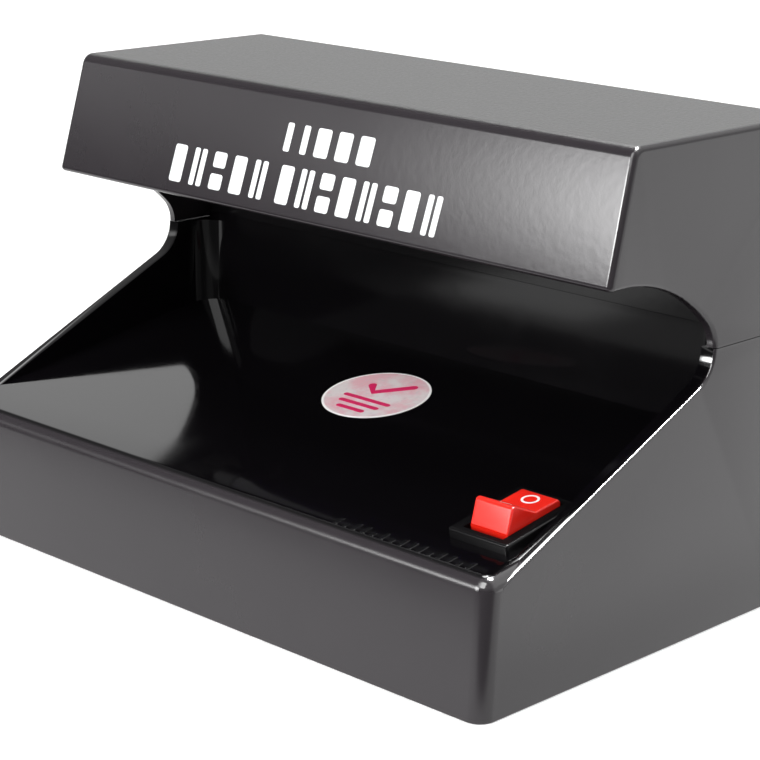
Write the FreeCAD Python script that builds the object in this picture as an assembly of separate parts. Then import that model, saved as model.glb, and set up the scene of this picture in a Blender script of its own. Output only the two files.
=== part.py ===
import FreeCAD, Part
import math
import os
from FreeCAD import Vector

# A counter-top ultraviolet banknote detector: a base with a sloping bill deck, a hood with a
# visor over a lamp tube, a rocker switch, a ballast board and a mains cord coiled behind it.
# Frame: +X is the detector's right, +Y its rear, +Z up; lengths in mm.
# Origin: centre of the case's underside rim, on the counter.

# ---------------------------------------------------------------- case dimensions
CASE_HALF_BOTTOM = 80.55   # half width at the counter
CASE_HALF_SEAM = 81.25     # half width on the parting line, the widest place
CASE_HALF_TOP = 80.0
CASE_H = 102.75
CASE_FRONT = -48.0         # front foot line
CASE_REAR = 48.0           # rear foot line
CASE_REAR_TOP = 47.95      # rear edge at the top (draft)
WALL = 2.2                 # moulded wall
SEAM_Z = 59.84             # parting line between base and hood
SEAM_GAP = 0.15            # shadow gap along the parting line

DECK_DEG = 9.59            # slope of the bill deck
DECK_Z0 = 27.63            # deck height above the front foot line
FRONT_LEAN = 0.0332        # rearward lean of the front wall, per mm of height
FRONT_WALL_H = 27.79
CHEEK_X = 77.8             # inner face of the cheeks
BAY_WALL_Y = 27.5          # front face of the bay's rear wall
BAY_WALL_TOP = 61.5
BAY_CORNER_R = 7.0         # upright corners of the bay

CHEEK_DEG = 24.9           # slope of the cheeks' top edge
CHEEK_POINT = (-37.0, 29.15)   # a point (y, z) on that edge
CHEEK_START_Y = -43.0      # front end of the cheek block
THROAT_Y = 17.9            # deepest point of the side opening, on the seam
THROAT_R_HOOD = 7.5        # upper throat radius
VISOR_TOP_Y = -8.6         # y of the visor's top edge
VISOR_BOTTOM_Y = -15.65    # y of the visor's bottom edge
VISOR_BOTTOM_Z = 76.35

LIP_R = 3.2                # deck's front lip
FRONT_CORNER_R = 3.6
REAR_CORNER_R = 3.0
HOOD_TOP_FRONT_R = 2.75
HOOD_TOP_REAR_R = 2.0
VISOR_SIDE_R = 1.3
OPENING_EDGE_R = 0.6       # outer edge of the base's side openings
HOOD_RIM_R = 0.9           # outer edge of the hood's openings

# ---------------------------------------------------------------- fixings
PLATE_Z0, PLATE_Z1 = 1.5, 3.5      # recessed bottom plate
PLATE_GAP = 0.2
FOOT_R = 7.0
BOTTOM_SCREWS = [(-52.0, -39.5), (52.0, -39.5), (-66.0, 37.0), (66.0, 37.0)]
FEET = [(-66.0, -34.0), (66.0, -34.0), (-66.0, 22.0), (66.0, 22.0)]
HOOD_SCREWS = [(-72.3, 40.3), (72.3, 40.3)]
REFLECTOR_SCREWS = [(-50.0, 14.5), (50.0, 14.5)]
HOOD_BOSS_Z0 = 42.0        # underside of the base's hood-screw bosses
HOOD_BOSS_R = 3.4
PILOT_R = 1.52             # pilot hole of the large screws
SMALL_PILOT_R = 1.27       # pilot hole of the small screws
CLEARANCE_R = 1.7          # clearance hole of the large screws
SMALL_CLEARANCE_R = 1.4

# ---------------------------------------------------------------- rocker switch
SWITCH_X, SWITCH_Y = 69.0, -26.65
BEZEL_W, BEZEL_L, BEZEL_H = 14.8, 21.0, 2.0
HOUSING_W, HOUSING_L, HOUSING_D = 12.8, 18.8, 13.0
WELL_HALF_L = 8.75         # half length of the rocker's well
ROCKER_W = 9.3
ROCKER_TILT = -16.0        # front half up, rear half pressed
ROCKER_PIVOT_H = -1.3      # pivot height from the deck's surface
ROCKER_AXLE_R = 1.2
ROCKER_RUN_GAP = 0.05
CONTACT_TILT = 8.0
CONTACT_PIVOT_H = -8.6
TERMINAL_PLACES = (0.0, 5.6)       # up the slope from the switch's centre
TERMINAL_HALF_W = 2.4
TERMINAL_HALF_T = 0.4
TERMINAL_DROP = 6.5        # reach below the housing

# ---------------------------------------------------------------- lamp and reflector
TUBE_Y, TUBE_Z = 8.0, 86.5
TUBE_LEN = 136.0           # over the end caps
TUBE_CAP_R = 8.0
TUBE_CAP_LEN = 7.5
GLASS_R, GLASS_BORE_R = 7.7, 6.9
GLASS_HALF, GLASS_BORE_HALF = 66.0, 65.2
TUBE_PIN_R, TUBE_PIN_LEN, TUBE_PIN_PITCH = 1.15, 6.8, 5.0
HOLDER_X0, HOLDER_X1 = 68.4, 76.4
REFLECTOR_T = 0.5
REFLECTOR_HALF_LEN = 66.0
REFLECTOR_FOOT = (14.5, 91.0)      # (distance from the tube's axis in y, z) of a lower edge
REFLECTOR_BEND = (9.5, 96.0)       # the same for a bend under the flat top

# ---------------------------------------------------------------- ballast board
BOARD_X0, BOARD_X1 = -45.0, 35.0
BOARD_Y0, BOARD_Y1 = -18.0, 18.0
BOARD_Z0, BOARD_Z1 = 9.5, 11.1
STANDOFF_INSET = 4.0
STANDOFFS = [(x, y) for y in (BOARD_Y0 + STANDOFF_INSET, BOARD_Y1 - STANDOFF_INSET)
             for x in (BOARD_X0 + STANDOFF_INSET, BOARD_X1 - STANDOFF_INSET)]

# ---------------------------------------------------------------- sticker, cord, plug
STICKER_X, STICKER_Y = 2.6, 4.2
STICKER_R, STICKER_T = 12.0, 0.12
CORD_R = 2.4
CORD_X, CORD_Z = -52.0, 14.0       # where it leaves the rear wall
PLUG_Y, PLUG_Z = 80.0, 6.9
PLUG_FACE_X = 61.0
PLUG_PIN_R, PLUG_PIN_LEN = 2.0, 19.0
PLUG_PIN_CORE_R = 1.6
PLUG_PIN_ROOT_X = 50.0
PLUG_PITCH = 18.6
MAINS_LEAD_R = 0.65
LAMP_LEAD_R = 0.55

# ---------------------------------------------------------------- shared values
X_DIR, Y_DIR, Z_DIR = (1, 0, 0), (0, 1, 0), (0, 0, 1)
SIDES = (-1, 1)            # left, right
OVER_X = 90.0              # half length of prisms that overrun the case
RIB_X = CASE_HALF_SEAM - 1.7       # ribs run this far, into the side walls
ROOF_Z = CASE_H - WALL             # underside of the hood's roof
HOOD_Z = SEAM_Z + SEAM_GAP         # lower edge of the hood
BAY_WALL_REAR = BAY_WALL_Y + WALL
DECK_SLOPE = math.tan(math.radians(DECK_DEG))
CHEEK_SLOPE = math.tan(math.radians(CHEEK_DEG))
VISOR_SLOPE = (VISOR_TOP_Y - VISOR_BOTTOM_Y) / (CASE_H - VISOR_BOTTOM_Z)
# both mouldings widen towards the parting line
BASE_DRAFT = (CASE_HALF_SEAM - CASE_HALF_BOTTOM) / SEAM_Z
HOOD_DRAFT = (CASE_HALF_TOP - CASE_HALF_SEAM) / (CASE_H - SEAM_Z)


def deck_z(y):
    return DECK_Z0 + DECK_SLOPE * (y - CASE_FRONT)


def cheek_z(y):
    return CHEEK_POINT[1] + CHEEK_SLOPE * (y - CHEEK_POINT[0])


def rear_y(z):
    return CASE_REAR + (CASE_REAR_TOP - CASE_REAR) * z / CASE_H


def visor_y(z):
    return VISOR_TOP_Y + (z - CASE_H) * VISOR_SLOPE


def base_half(z):
    return CASE_HALF_BOTTOM + BASE_DRAFT * z


def hood_half(z):
    return CASE_HALF_SEAM + HOOD_DRAFT * (z - SEAM_Z)


# ---------------------------------------------------------------- solids
def box(x0, x1, y0, y1, z0, z1):
    return Part.makeBox(x1 - x0, y1 - y0, z1 - z0, Vector(x0, y0, z0))


def span(side, inner, outer):
    """The x range between two distances from the middle, on one side."""
    return sorted((side * inner, side * outer))


def cyl(radius, start, direction, length):
    return Part.makeCylinder(radius, length, Vector(*start), Vector(*direction))


def cone(radius0, radius1, length, start, direction):
    return Part.makeCone(radius0, radius1, length, Vector(*start), Vector(*direction))


def ring(outer_r, inner_r, start, direction, length):
    return cyl(outer_r, start, direction, length).cut(cyl(inner_r, start, direction, length))


def polygon(points):
    corners = [Vector(*p) for p in points]
    return Part.Face(Part.makePolygon(corners + [corners[0]]))


def prism_x(points_yz, x0, x1):
    return polygon([(x0, y, z) for y, z in points_yz]).extrude(Vector(x1 - x0, 0, 0))


def prism_y(points_xz, y0, y1):
    return polygon([(x, y0, z) for x, z in points_xz]).extrude(Vector(0, y1 - y0, 0))


def drafted_block(half_width, z0, z1, inset=0.0):
    """A block between the drafted side walls, longer than the case in y."""
    low, high = half_width(z0) - inset, half_width(z1) - inset
    return prism_y([(-low, z0), (low, z0), (high, z1), (-high, z1)], -60, 60)


def one(shape, name):
    """The single solid of a shape, with split faces merged."""
    shape = shape.removeSplitter()
    if len(shape.Solids) != 1:
        raise RuntimeError("%s has %d solids" % (name, len(shape.Solids)))
    return shape.Solids[0]


def group(shapes):
    return Part.makeCompound([solid for shape in shapes for solid in shape.Solids])


# ---------------------------------------------------------------- edges and fillets
def ends(edge):
    return edge.Vertexes[0].Point, edge.Vertexes[-1].Point


def mid(edge):
    return edge.valueAt((edge.FirstParameter + edge.LastParameter) / 2)


def is_side(edge):
    """True for an edge that stays on one side face of the case."""
    a, b = ends(edge)
    return (abs(a.x) > 70 and abs(b.x) > 70 and (a.x > 0) == (b.x > 0)
            and abs(a.x - b.x) < 1.5)


def fillet(shape, radius, test):
    edges = [e for e in shape.Edges if test(e)]
    if not edges:
        raise RuntimeError("no edge for fillet r=%g" % radius)
    return shape.makeFillet(radius, edges)


def round_circle(shape, radius, axis, place):
    """Fillet the circular edges that lie at one place on an axis."""
    return fillet(shape, radius,
                  lambda e: e.Closed and abs(getattr(mid(e), axis) - place) < 0.01)


def rounded_box(x0, x1, y0, y1, z0, z1, radius, axis="z"):
    """A box with its edges along one axis rounded."""
    def along(edge):
        a, b = ends(edge)
        run = b - a
        return abs(getattr(run, axis)) > 0.99 * run.Length

    return fillet(box(x0, x1, y0, y1, z0, z1), radius, along)


# ---------------------------------------------------------------- cords and screws
def pipe(points, radius):
    """A round cord along straight runs joined by tangent arcs."""
    points = [Vector(*p) for p in points]
    runs = [b - a for a, b in zip(points, points[1:])]
    dirs = [Vector(run).normalize() for run in runs]
    edge = Part.makeCircle(radius, points[0], dirs[0])
    faces = [Part.Face(Part.Wire([edge]))]
    here = points[0]
    for i in range(1, len(points)):
        before = dirs[i - 1]
        bend = before.getAngle(dirs[i]) if i < len(dirs) else 0.0
        # each bend takes half of the shorter run beside it
        trim = min(runs[i - 1].Length, runs[i].Length) / 2 if bend > 1e-4 else 0.0
        end = points[i] - before * trim
        run = end - here
        if run.Length > 1e-6:
            faces.append(edge.extrude(run))
            edge = edge.copy()
            edge.translate(run)
        here = end
        if trim > 0.0:
            bend_r = trim / math.tan(bend / 2)
            if bend_r < radius * 1.15:
                raise RuntimeError("a bend is too tight: %.2f" % bend_r)
            axis = before.cross(dirs[i]).normalize()
            centre = end + axis.cross(before) * bend_r
            faces.append(edge.revolve(centre, axis, math.degrees(bend)))
            edge = edge.copy()
            edge.rotate(centre, axis, math.degrees(bend))
            here = points[i] + dirs[i] * trim
    faces.append(Part.Face(Part.Wire([edge])))
    shell = Part.makeShell(faces)
    shell.sewShape()
    # sewing may wrap the shell in a compound, or leave it inside out
    if shell.ShapeType != "Shell":
        shell = shell.Shells[0]
    solid = Part.makeSolid(shell)
    if solid.Volume < 0:
        solid = Part.makeSolid(shell.reversed())
    return solid


def screw(x, y, seat_z, shank_r, head_r, head_h, length):
    """A pan-head cross screw that points up; seat_z is the face over its head."""
    head_z = seat_z - head_h
    head = round_circle(cyl(head_r, (x, y, head_z), Z_DIR, head_h), head_h * 0.45, "z", head_z)
    tip = cone(shank_r, shank_r * 0.35, shank_r * 1.2, (x, y, seat_z + length), Z_DIR)
    body = head.fuse(cyl(shank_r, (x, y, seat_z - 0.1), Z_DIR, length + 0.1)).fuse(tip)
    reach, half_slot = head_r * 0.62, head_r * 0.28 / 2
    for dx, dy in ((reach, half_slot), (half_slot, reach)):
        body = body.cut(box(x - dx, x + dx, y - dy, y + dy, head_z - 1, head_z + head_h * 0.55))
    return one(body, "screw")


# ---------------------------------------------------------------- side opening outline (y, z)
def on_circle(centre, radius, degrees):
    angle = math.radians(degrees)
    return (centre[0] + radius * math.cos(angle), centre[1] + radius * math.sin(angle))


THROAT = (THROAT_Y, SEAM_Z)
# lower throat arc: tangent to the cheek's slope, upright on the seam
cheek_cos, cheek_sin = math.cos(math.radians(CHEEK_DEG)), math.sin(math.radians(CHEEK_DEG))
THROAT_R_BASE = (SEAM_Z - cheek_z(THROAT_Y)) / (cheek_cos - CHEEK_SLOPE * (1 - cheek_sin))
LOWER_CENTRE = (THROAT_Y - THROAT_R_BASE, SEAM_Z)
LOWER_START = on_circle(LOWER_CENTRE, THROAT_R_BASE, CHEEK_DEG - 90)
LOWER_MID = on_circle(LOWER_CENTRE, THROAT_R_BASE, (CHEEK_DEG - 90) / 2)
# upper throat: a small arc from the seam to 45 degrees, then a large one to the visor
COS_45 = math.sqrt(0.5)
UPPER_CENTRE = (THROAT_Y - THROAT_R_HOOD, SEAM_Z)
UPPER_MID = on_circle(UPPER_CENTRE, THROAT_R_HOOD, 22.5)
UPPER_END = on_circle(UPPER_CENTRE, THROAT_R_HOOD, 45)
VISOR_ARC_R = (VISOR_BOTTOM_Z - UPPER_END[1]) / (1 - COS_45)
VISOR_ARC_CENTRE = (UPPER_END[0] - VISOR_ARC_R * COS_45, VISOR_BOTTOM_Z - VISOR_ARC_R)
VISOR_ARC_MID = on_circle(VISOR_ARC_CENTRE, VISOR_ARC_R, 67.5)
VISOR_ARC_END = (VISOR_ARC_CENTRE[0], VISOR_BOTTOM_Z)


def outline_point(yz):
    return Vector(-OVER_X, yz[0], yz[1])


def line(a, b):
    return Part.makeLine(outline_point(a), outline_point(b))


def arc(a, middle, b):
    return Part.Arc(outline_point(a), outline_point(middle), outline_point(b)).toShape()


def across_case(edges):
    """Extrude a closed side outline over the case's full width."""
    return Part.Face(Part.Wire(edges)).extrude(Vector(2 * OVER_X, 0, 0))


# ---------------------------------------------------------------- base shell
def deck_block():
    """Front wall and sloping deck, rounded at its front corners and along its lip."""
    top_y = CASE_FRONT + FRONT_LEAN * FRONT_WALL_H
    rear = 30.0
    block = prism_x([(CASE_FRONT, 0), (top_y, deck_z(top_y)), (rear, deck_z(rear)), (rear, 0)],
                    -OVER_X, OVER_X)
    block = block.common(drafted_block(base_half, 0, 80))
    block = fillet(block, FRONT_CORNER_R,
                   lambda e: is_side(e) and mid(e).y < -46 and mid(e).z < 20)
    return fillet(block, LIP_R,
                  lambda e: mid(e).y < -46.5 and mid(e).z > 26 and abs(mid(e).x) < 1)


def bay_room():
    """The room above the deck, with rounded upright corners at its rear."""
    front, top = -46.0, 70.0
    room = prism_x([(front, deck_z(front)), (BAY_WALL_Y, deck_z(BAY_WALL_Y)),
                    (BAY_WALL_Y, top), (front, top)], -CHEEK_X, CHEEK_X)
    return fillet(room, BAY_CORNER_R, lambda e: abs(abs(mid(e).x) - CHEEK_X) < 0.01
                  and abs(mid(e).y - BAY_WALL_Y) < 0.01)


def cheek_block():
    """Sides that rise with the openings' slope, and the rear."""
    foot = (CHEEK_START_Y, 0)
    start = (CHEEK_START_Y, cheek_z(CHEEK_START_Y))
    rear_seam, rear_foot = (rear_y(SEAM_Z), SEAM_Z), (CASE_REAR, 0)
    block = across_case([
        line(foot, start), line(start, LOWER_START), arc(LOWER_START, LOWER_MID, THROAT),
        line(THROAT, rear_seam), line(rear_seam, rear_foot), line(rear_foot, foot)])
    block = block.common(drafted_block(base_half, 0, 80))
    block = fillet(block, REAR_CORNER_R, lambda e: is_side(e) and mid(e).y > 46)
    block = fillet(block, OPENING_EDGE_R,
                   lambda e: is_side(e) and 26 < mid(e).z < SEAM_Z - 0.5
                   and CHEEK_START_Y + 0.5 < mid(e).y < THROAT_Y)
    return block.cut(bay_room())


def base_cavity():
    under_deck = WALL / math.cos(math.radians(DECK_DEG))
    front = CASE_FRONT + WALL
    cavity = prism_x([(front, -1), (front + 0.8, deck_z(front + 0.8) - under_deck),
                      (BAY_WALL_REAR, deck_z(BAY_WALL_REAR) - under_deck), (BAY_WALL_REAR, 70),
                      (rear_y(70) - WALL, 70), (CASE_REAR - WALL, -1)], -OVER_X, OVER_X)
    return cavity.common(drafted_block(base_half, -5, 80, WALL))


def base_shell():
    base = one(deck_block().fuse(cheek_block()), "base_outer").cut(base_cavity())
    # bay wall and locating tongue stand a little above the parting line, inside the hood
    base = base.fuse(box(-77.2, 77.2, BAY_WALL_Y, BAY_WALL_REAR, SEAM_Z - 2, BAY_WALL_TOP))
    base = base.fuse(box(-67, 67, 44.1, 46.2, 56, SEAM_Z))
    base = base.fuse(box(-67, 67, 44.1, 45.3, SEAM_Z - 1, 61.3))
    for x, y in BOTTOM_SCREWS:
        top = deck_z(y) - 1.2 if y < 0 else 22.0
        boss = cyl(3.5, (x, y, PLATE_Z1), Z_DIR, top - PLATE_Z1)
        if y > 0:
            boss = boss.fuse(box(x - 1, x + 1, y + 2, CASE_REAR - 1.2, PLATE_Z1, 20))
        base = base.fuse(boss).cut(cyl(PILOT_R, (x, y, PLATE_Z1 - 1), Z_DIR, 13.0))
    for side, (x, y) in zip(SIDES, HOOD_SCREWS):
        # boss with a rib to the rear wall and one to the side wall
        boss = cyl(HOOD_BOSS_R, (x, y, HOOD_BOSS_Z0), Z_DIR, SEAM_Z - HOOD_BOSS_Z0)
        boss = boss.fuse(box(x - 1, x + 1, y, 46.6, HOOD_BOSS_Z0, SEAM_Z))
        boss = boss.fuse(box(*span(side, abs(x), RIB_X), y - 1, y + 1, HOOD_BOSS_Z0, SEAM_Z))
        base = base.fuse(boss).cut(cyl(CLEARANCE_R, (x, y, HOOD_BOSS_Z0 - 1), Z_DIR, 30))
    # openings for the switch and the cord
    half_w, half_l = HOUSING_W / 2 + 0.1, HOUSING_L / 2 + 0.1
    base = base.cut(on_deck(box(-half_w, half_w, -half_l, half_l, -6, 4)))
    base = base.cut(cyl(3.6, (CORD_X, 40, CORD_Z), Y_DIR, 14))
    return one(base, "base_shell")


# ---------------------------------------------------------------- hood shell
def is_hood_rim(edge):
    """Outer edges of the side openings, and the visor's bottom edge."""
    m = mid(edge)
    if m.z < HOOD_Z + 0.3 or m.z > VISOR_BOTTOM_Z + 0.05:
        return False
    if is_side(edge):
        return m.y < THROAT_Y + 0.1 and abs(m.x) > 78
    return m.y < -14.0 and abs(m.z - VISOR_BOTTOM_Z) < 0.05


def hood_outer():
    hood = prism_x([(visor_y(HOOD_Z), HOOD_Z), (VISOR_TOP_Y, CASE_H), (CASE_REAR_TOP, CASE_H),
                    (rear_y(HOOD_Z), HOOD_Z)], -OVER_X, OVER_X)
    hood = hood.common(drafted_block(hood_half, SEAM_Z, CASE_H))
    hood = fillet(hood, HOOD_TOP_FRONT_R,
                  lambda e: abs(mid(e).x) < 1 and mid(e).z > 102 and mid(e).y < 0)
    hood = fillet(hood, HOOD_TOP_REAR_R,
                  lambda e: abs(mid(e).x) < 1 and mid(e).z > 102 and mid(e).y > 40)
    hood = fillet(hood, VISOR_SIDE_R, lambda e: is_side(e) and mid(e).z > HOOD_Z + 0.1)
    # side openings and the open underside in front of the throat
    throat_low, front_low, front_high = (THROAT_Y, 40), (-70, 40), (-70, VISOR_BOTTOM_Z)
    hood = hood.cut(across_case([
        line(throat_low, THROAT), arc(THROAT, UPPER_MID, UPPER_END),
        arc(UPPER_END, VISOR_ARC_MID, VISOR_ARC_END), line(VISOR_ARC_END, front_high),
        line(front_high, front_low), line(front_low, throat_low)]))
    # the rim fillet may fail where the arcs meet the visor; the hood then keeps a sharp rim
    try:
        return fillet(hood, HOOD_RIM_R, is_hood_rim)
    except Exception:
        return hood


def hood_cavity():
    low = 40
    visor_wall = WALL / math.cos(math.atan(VISOR_SLOPE))
    cavity = prism_x([(visor_y(low) + visor_wall, low), (visor_y(ROOF_Z) + visor_wall, ROOF_Z),
                      (rear_y(CASE_H) - WALL, ROOF_Z), (rear_y(low) - WALL, low)],
                     -OVER_X, OVER_X)
    return cavity.common(drafted_block(hood_half, low, CASE_H, WALL))


def hood_shell():
    hood = hood_outer().cut(hood_cavity())
    rib_z0, rib_z1 = HOOD_Z + 0.5, 78
    for side, (x, y) in zip(SIDES, HOOD_SCREWS):
        boss = cyl(HOOD_BOSS_R, (x, y, SEAM_Z), Z_DIR, 20)
        boss = boss.fuse(box(x - 1, x + 1, y, 46.4, rib_z0, rib_z1))
        boss = boss.fuse(box(*span(side, abs(x), RIB_X), y - 1, y + 1, rib_z0, rib_z1))
        hood = hood.fuse(boss).cut(cyl(PILOT_R, (x, y, SEAM_Z - 1), Z_DIR, 16))
    for side in SIDES:
        # ribs in front of and behind the divider
        for y0, y1, z0 in ((25.9, 27.4, 79.0), (29.8, 31.3, 62.5)):
            hood = hood.fuse(box(*span(side, 75.4, CASE_HALF_TOP - 0.6), y0, y1, z0,
                                 ROOF_Z + 0.5))
        # ribs in front of and behind the lamp holder
        for y0, y1 in ((TUBE_Y - 8.9, TUBE_Y - 7.6), (TUBE_Y + 7.6, TUBE_Y + 8.9)):
            hood = hood.fuse(box(*span(side, 69.0, 78.6), y0, y1, 93.0, ROOF_Z + 0.5))
    reflector_z = REFLECTOR_BEND[1]
    for x, y in REFLECTOR_SCREWS:
        hood = hood.fuse(cyl(3.0, (x, y, reflector_z + REFLECTOR_T), Z_DIR, 4.2))
        hood = hood.cut(cyl(SMALL_PILOT_R, (x, y, reflector_z), Z_DIR, 5.2))
    return one(hood, "hood_shell")


# ---------------------------------------------------------------- bottom plate, feet, screws
def bottom_plate():
    half_w = CASE_HALF_BOTTOM - WALL - PLATE_GAP - 0.1
    inset = WALL + PLATE_GAP
    plate = rounded_box(-half_w, half_w, CASE_FRONT + inset, CASE_REAR - inset,
                        PLATE_Z0, PLATE_Z1, 1.0)
    for x, y in STANDOFFS:
        post_z = PLATE_Z1 - 0.5
        plate = plate.fuse(cyl(3.0, (x, y, post_z), Z_DIR, BOARD_Z0 - post_z))
        plate = plate.cut(cyl(SMALL_PILOT_R, (x, y, 4.5), Z_DIR, 6))
    for x, y in BOTTOM_SCREWS:
        plate = plate.cut(cyl(CLEARANCE_R, (x, y, 0), Z_DIR, 6))
    # two rows of seven slots
    for k in range(7):
        x = -24 + 8 * k
        for y in (-31.0, 31.0):
            plate = plate.cut(rounded_box(x - 1.25, x + 1.25, y - 7, y + 7, 0, 5, 1.2))
    return one(plate, "bottom_plate")


def rubber_feet():
    return group([round_circle(cyl(FOOT_R, (x, y, 0), Z_DIR, PLATE_Z0), 0.5, "z", 0)
                  for x, y in FEET])


def bottom_screws():
    return group([screw(x, y, PLATE_Z0, shank_r=1.5, head_r=2.7, head_h=1.3, length=8.0)
                  for x, y in BOTTOM_SCREWS])


def hood_screws():
    return group([screw(x, y, HOOD_BOSS_Z0, shank_r=1.5, head_r=2.7, head_h=2.1, length=28.0)
                  for x, y in HOOD_SCREWS])


def board_screws():
    """These point down, so each is mirrored in the board's top."""
    return group([screw(x, y, BOARD_Z1, shank_r=1.25, head_r=2.2, head_h=1.6, length=4.5)
                  .mirror(Vector(0, 0, BOARD_Z1), Vector(0, 0, 1)) for x, y in STANDOFFS])


def reflector_screws():
    return group([screw(x, y, REFLECTOR_BEND[1], shank_r=1.25, head_r=2.3, head_h=1.4,
                        length=3.0) for x, y in REFLECTOR_SCREWS])


# ---------------------------------------------------------------- divider and reflector
def lamp_bay_divider():
    divider = box(-76.8, 76.8, BAY_WALL_Y + 0.1, BAY_WALL_REAR - 0.1, BAY_WALL_TOP + 0.05, 98.0)
    for side in SIDES:
        # notch for the lamp leads
        divider = divider.cut(box(*span(side, 67, 74), 20, 35, 88, 99))
    return one(divider, "divider")


def lamp_reflector():
    """A folded sheet: a flat top between two flanges that fall at 45 degrees."""
    foot_y, foot_z = REFLECTOR_FOOT
    bend_y, bend_z = REFLECTOR_BEND
    slant = REFLECTOR_T * COS_45
    mitre = REFLECTOR_T * math.tan(math.radians(22.5))
    inner = [(TUBE_Y - foot_y, foot_z), (TUBE_Y - bend_y, bend_z),
             (TUBE_Y + bend_y, bend_z), (TUBE_Y + foot_y, foot_z)]
    outer = [(TUBE_Y + foot_y + slant, foot_z + slant),
             (TUBE_Y + bend_y + mitre, bend_z + REFLECTOR_T),
             (TUBE_Y - bend_y - mitre, bend_z + REFLECTOR_T),
             (TUBE_Y - foot_y - slant, foot_z + slant)]
    sheet = prism_x(inner + outer, -REFLECTOR_HALF_LEN, REFLECTOR_HALF_LEN)
    for x, y in REFLECTOR_SCREWS:
        sheet = sheet.cut(cyl(SMALL_CLEARANCE_R, (x, y, bend_z - 1), Z_DIR, 3))
    return one(sheet, "reflector")


# ---------------------------------------------------------------- lamp, pins, holders
def uv_tube_glass():
    glass = cyl(GLASS_R, (-GLASS_HALF, TUBE_Y, TUBE_Z), X_DIR, 2 * GLASS_HALF)
    bore = cyl(GLASS_BORE_R, (-GLASS_BORE_HALF, TUBE_Y, TUBE_Z), X_DIR, 2 * GLASS_BORE_HALF)
    return glass.cut(bore).Solids[0]


def tube_end_caps():
    caps = []
    start = TUBE_LEN / 2 - TUBE_CAP_LEN
    for side in SIDES:
        outward = (side, 0, 0)
        cap = cyl(TUBE_CAP_R, (side * start, TUBE_Y, TUBE_Z), outward, TUBE_CAP_LEN)
        cap = round_circle(cap, 0.8, "x", side * TUBE_LEN / 2)
        caps.append(cap.cut(cyl(GLASS_R + 0.02, (side * (start - 0.1), TUBE_Y, TUBE_Z),
                                outward, 5.7)))
    return group(caps)


def tube_pins():
    pins = []
    for side in SIDES:
        for row in (-1, 1):
            pin = cyl(TUBE_PIN_R,
                      (side * TUBE_LEN / 2, TUBE_Y + row * TUBE_PIN_PITCH / 2, TUBE_Z),
                      (side, 0, 0), TUBE_PIN_LEN)
            pins.append(round_circle(pin, 0.5, "x", side * (TUBE_LEN / 2 + TUBE_PIN_LEN)))
    return group(pins)


def lamp_holder(side):
    """A block with a bore for the rotor and an entry slot from below."""
    holder = rounded_box(*span(side, HOLDER_X0, HOLDER_X1), TUBE_Y - 7.5, TUBE_Y + 7.5,
                         78.5, ROOF_Z - 0.1, 1.2, "x")
    bore = cyl(5.5, (side * (HOLDER_X0 - 1), TUBE_Y, TUBE_Z), (side, 0, 0), 7.9)
    slot = box(*span(side, HOLDER_X0 - 1, HOLDER_X0 + 6.9), TUBE_Y - 1.5, TUBE_Y + 1.5,
               77, TUBE_Z)
    return one(holder.cut(bore).cut(slot), "holder")


def holder_rotor(side):
    rotor = cyl(5.42, (side * (HOLDER_X0 + 0.1), TUBE_Y, TUBE_Z), (side, 0, 0), 6.7)
    slot = box(*span(side, HOLDER_X0 - 1, HOLDER_X0 + 6.5), TUBE_Y - 7, TUBE_Y + 7,
               TUBE_Z - 1.25, TUBE_Z + 1.25)
    return one(rotor.cut(slot), "rotor")


# ---------------------------------------------------------------- ballast board and its parts
def ballast_board():
    board = rounded_box(BOARD_X0, BOARD_X1, BOARD_Y0, BOARD_Y1, BOARD_Z0, BOARD_Z1, 1.5)
    for x, y in STANDOFFS:
        board = board.cut(cyl(SMALL_CLEARANCE_R, (x, y, BOARD_Z0 - 1), Z_DIR, 4))
    return board


TRANSFORMER = (10.0, 4.0, BOARD_Z1 + 9.0)      # centre


def transformer_box(x0, x1, half_y, half_z):
    """A box placed from the transformer's centre."""
    x, y, z = TRANSFORMER
    return box(x + x0, x + x1, y - half_y, y + half_y, z - half_z, z + half_z)


def transformer_core():
    core = transformer_box(-10, 10, 3, 8.5)
    for x0, x1 in ((-7.6, -2.5), (2.5, 7.6)):
        core = core.cut(transformer_box(x0, x1, 5, 6.2))
    return one(core, "core")


def transformer_coil():
    x, y, z = TRANSFORMER
    coil = rounded_box(x - 7.4, x + 7.4, y - 7.5, y + 7.5, z - 6.0, z + 6.0, 2.0)
    coil = coil.cut(transformer_box(-2.6, 2.6, 3.1, 9))
    coil = coil.cut(transformer_box(-9, -7.39, 3.1, 9))
    return one(coil, "coil")


def filter_capacitor():
    return fillet(cyl(5.0, (-30, 7, BOARD_Z1), Z_DIR, 16), 0.7, lambda e: e.Closed)


def film_capacitors():
    return group([rounded_box(-18, -8, y, y + 4.5, BOARD_Z1, BOARD_Z1 + height, 0.8)
                  for y, height in ((-11, 9), (-2, 8))])


def power_transistors():
    transistors = []
    for x in (25.0, 12.0):
        body = box(x - 4, x + 4, -13.4, -10.6, BOARD_Z1 + 4, BOARD_Z1 + 15)
        body = body.cut(cyl(1.6, (x, -15, BOARD_Z1 + 12), Y_DIR, 6))
        for dx in (-2.5, 0, 2.5):
            body = body.fuse(box(x + dx - 0.35, x + dx + 0.35, -12.3, -11.7,
                                 BOARD_Z1, BOARD_Z1 + 4.1))
        transistors.append(one(body, "transistor"))
    return group(transistors)


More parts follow.
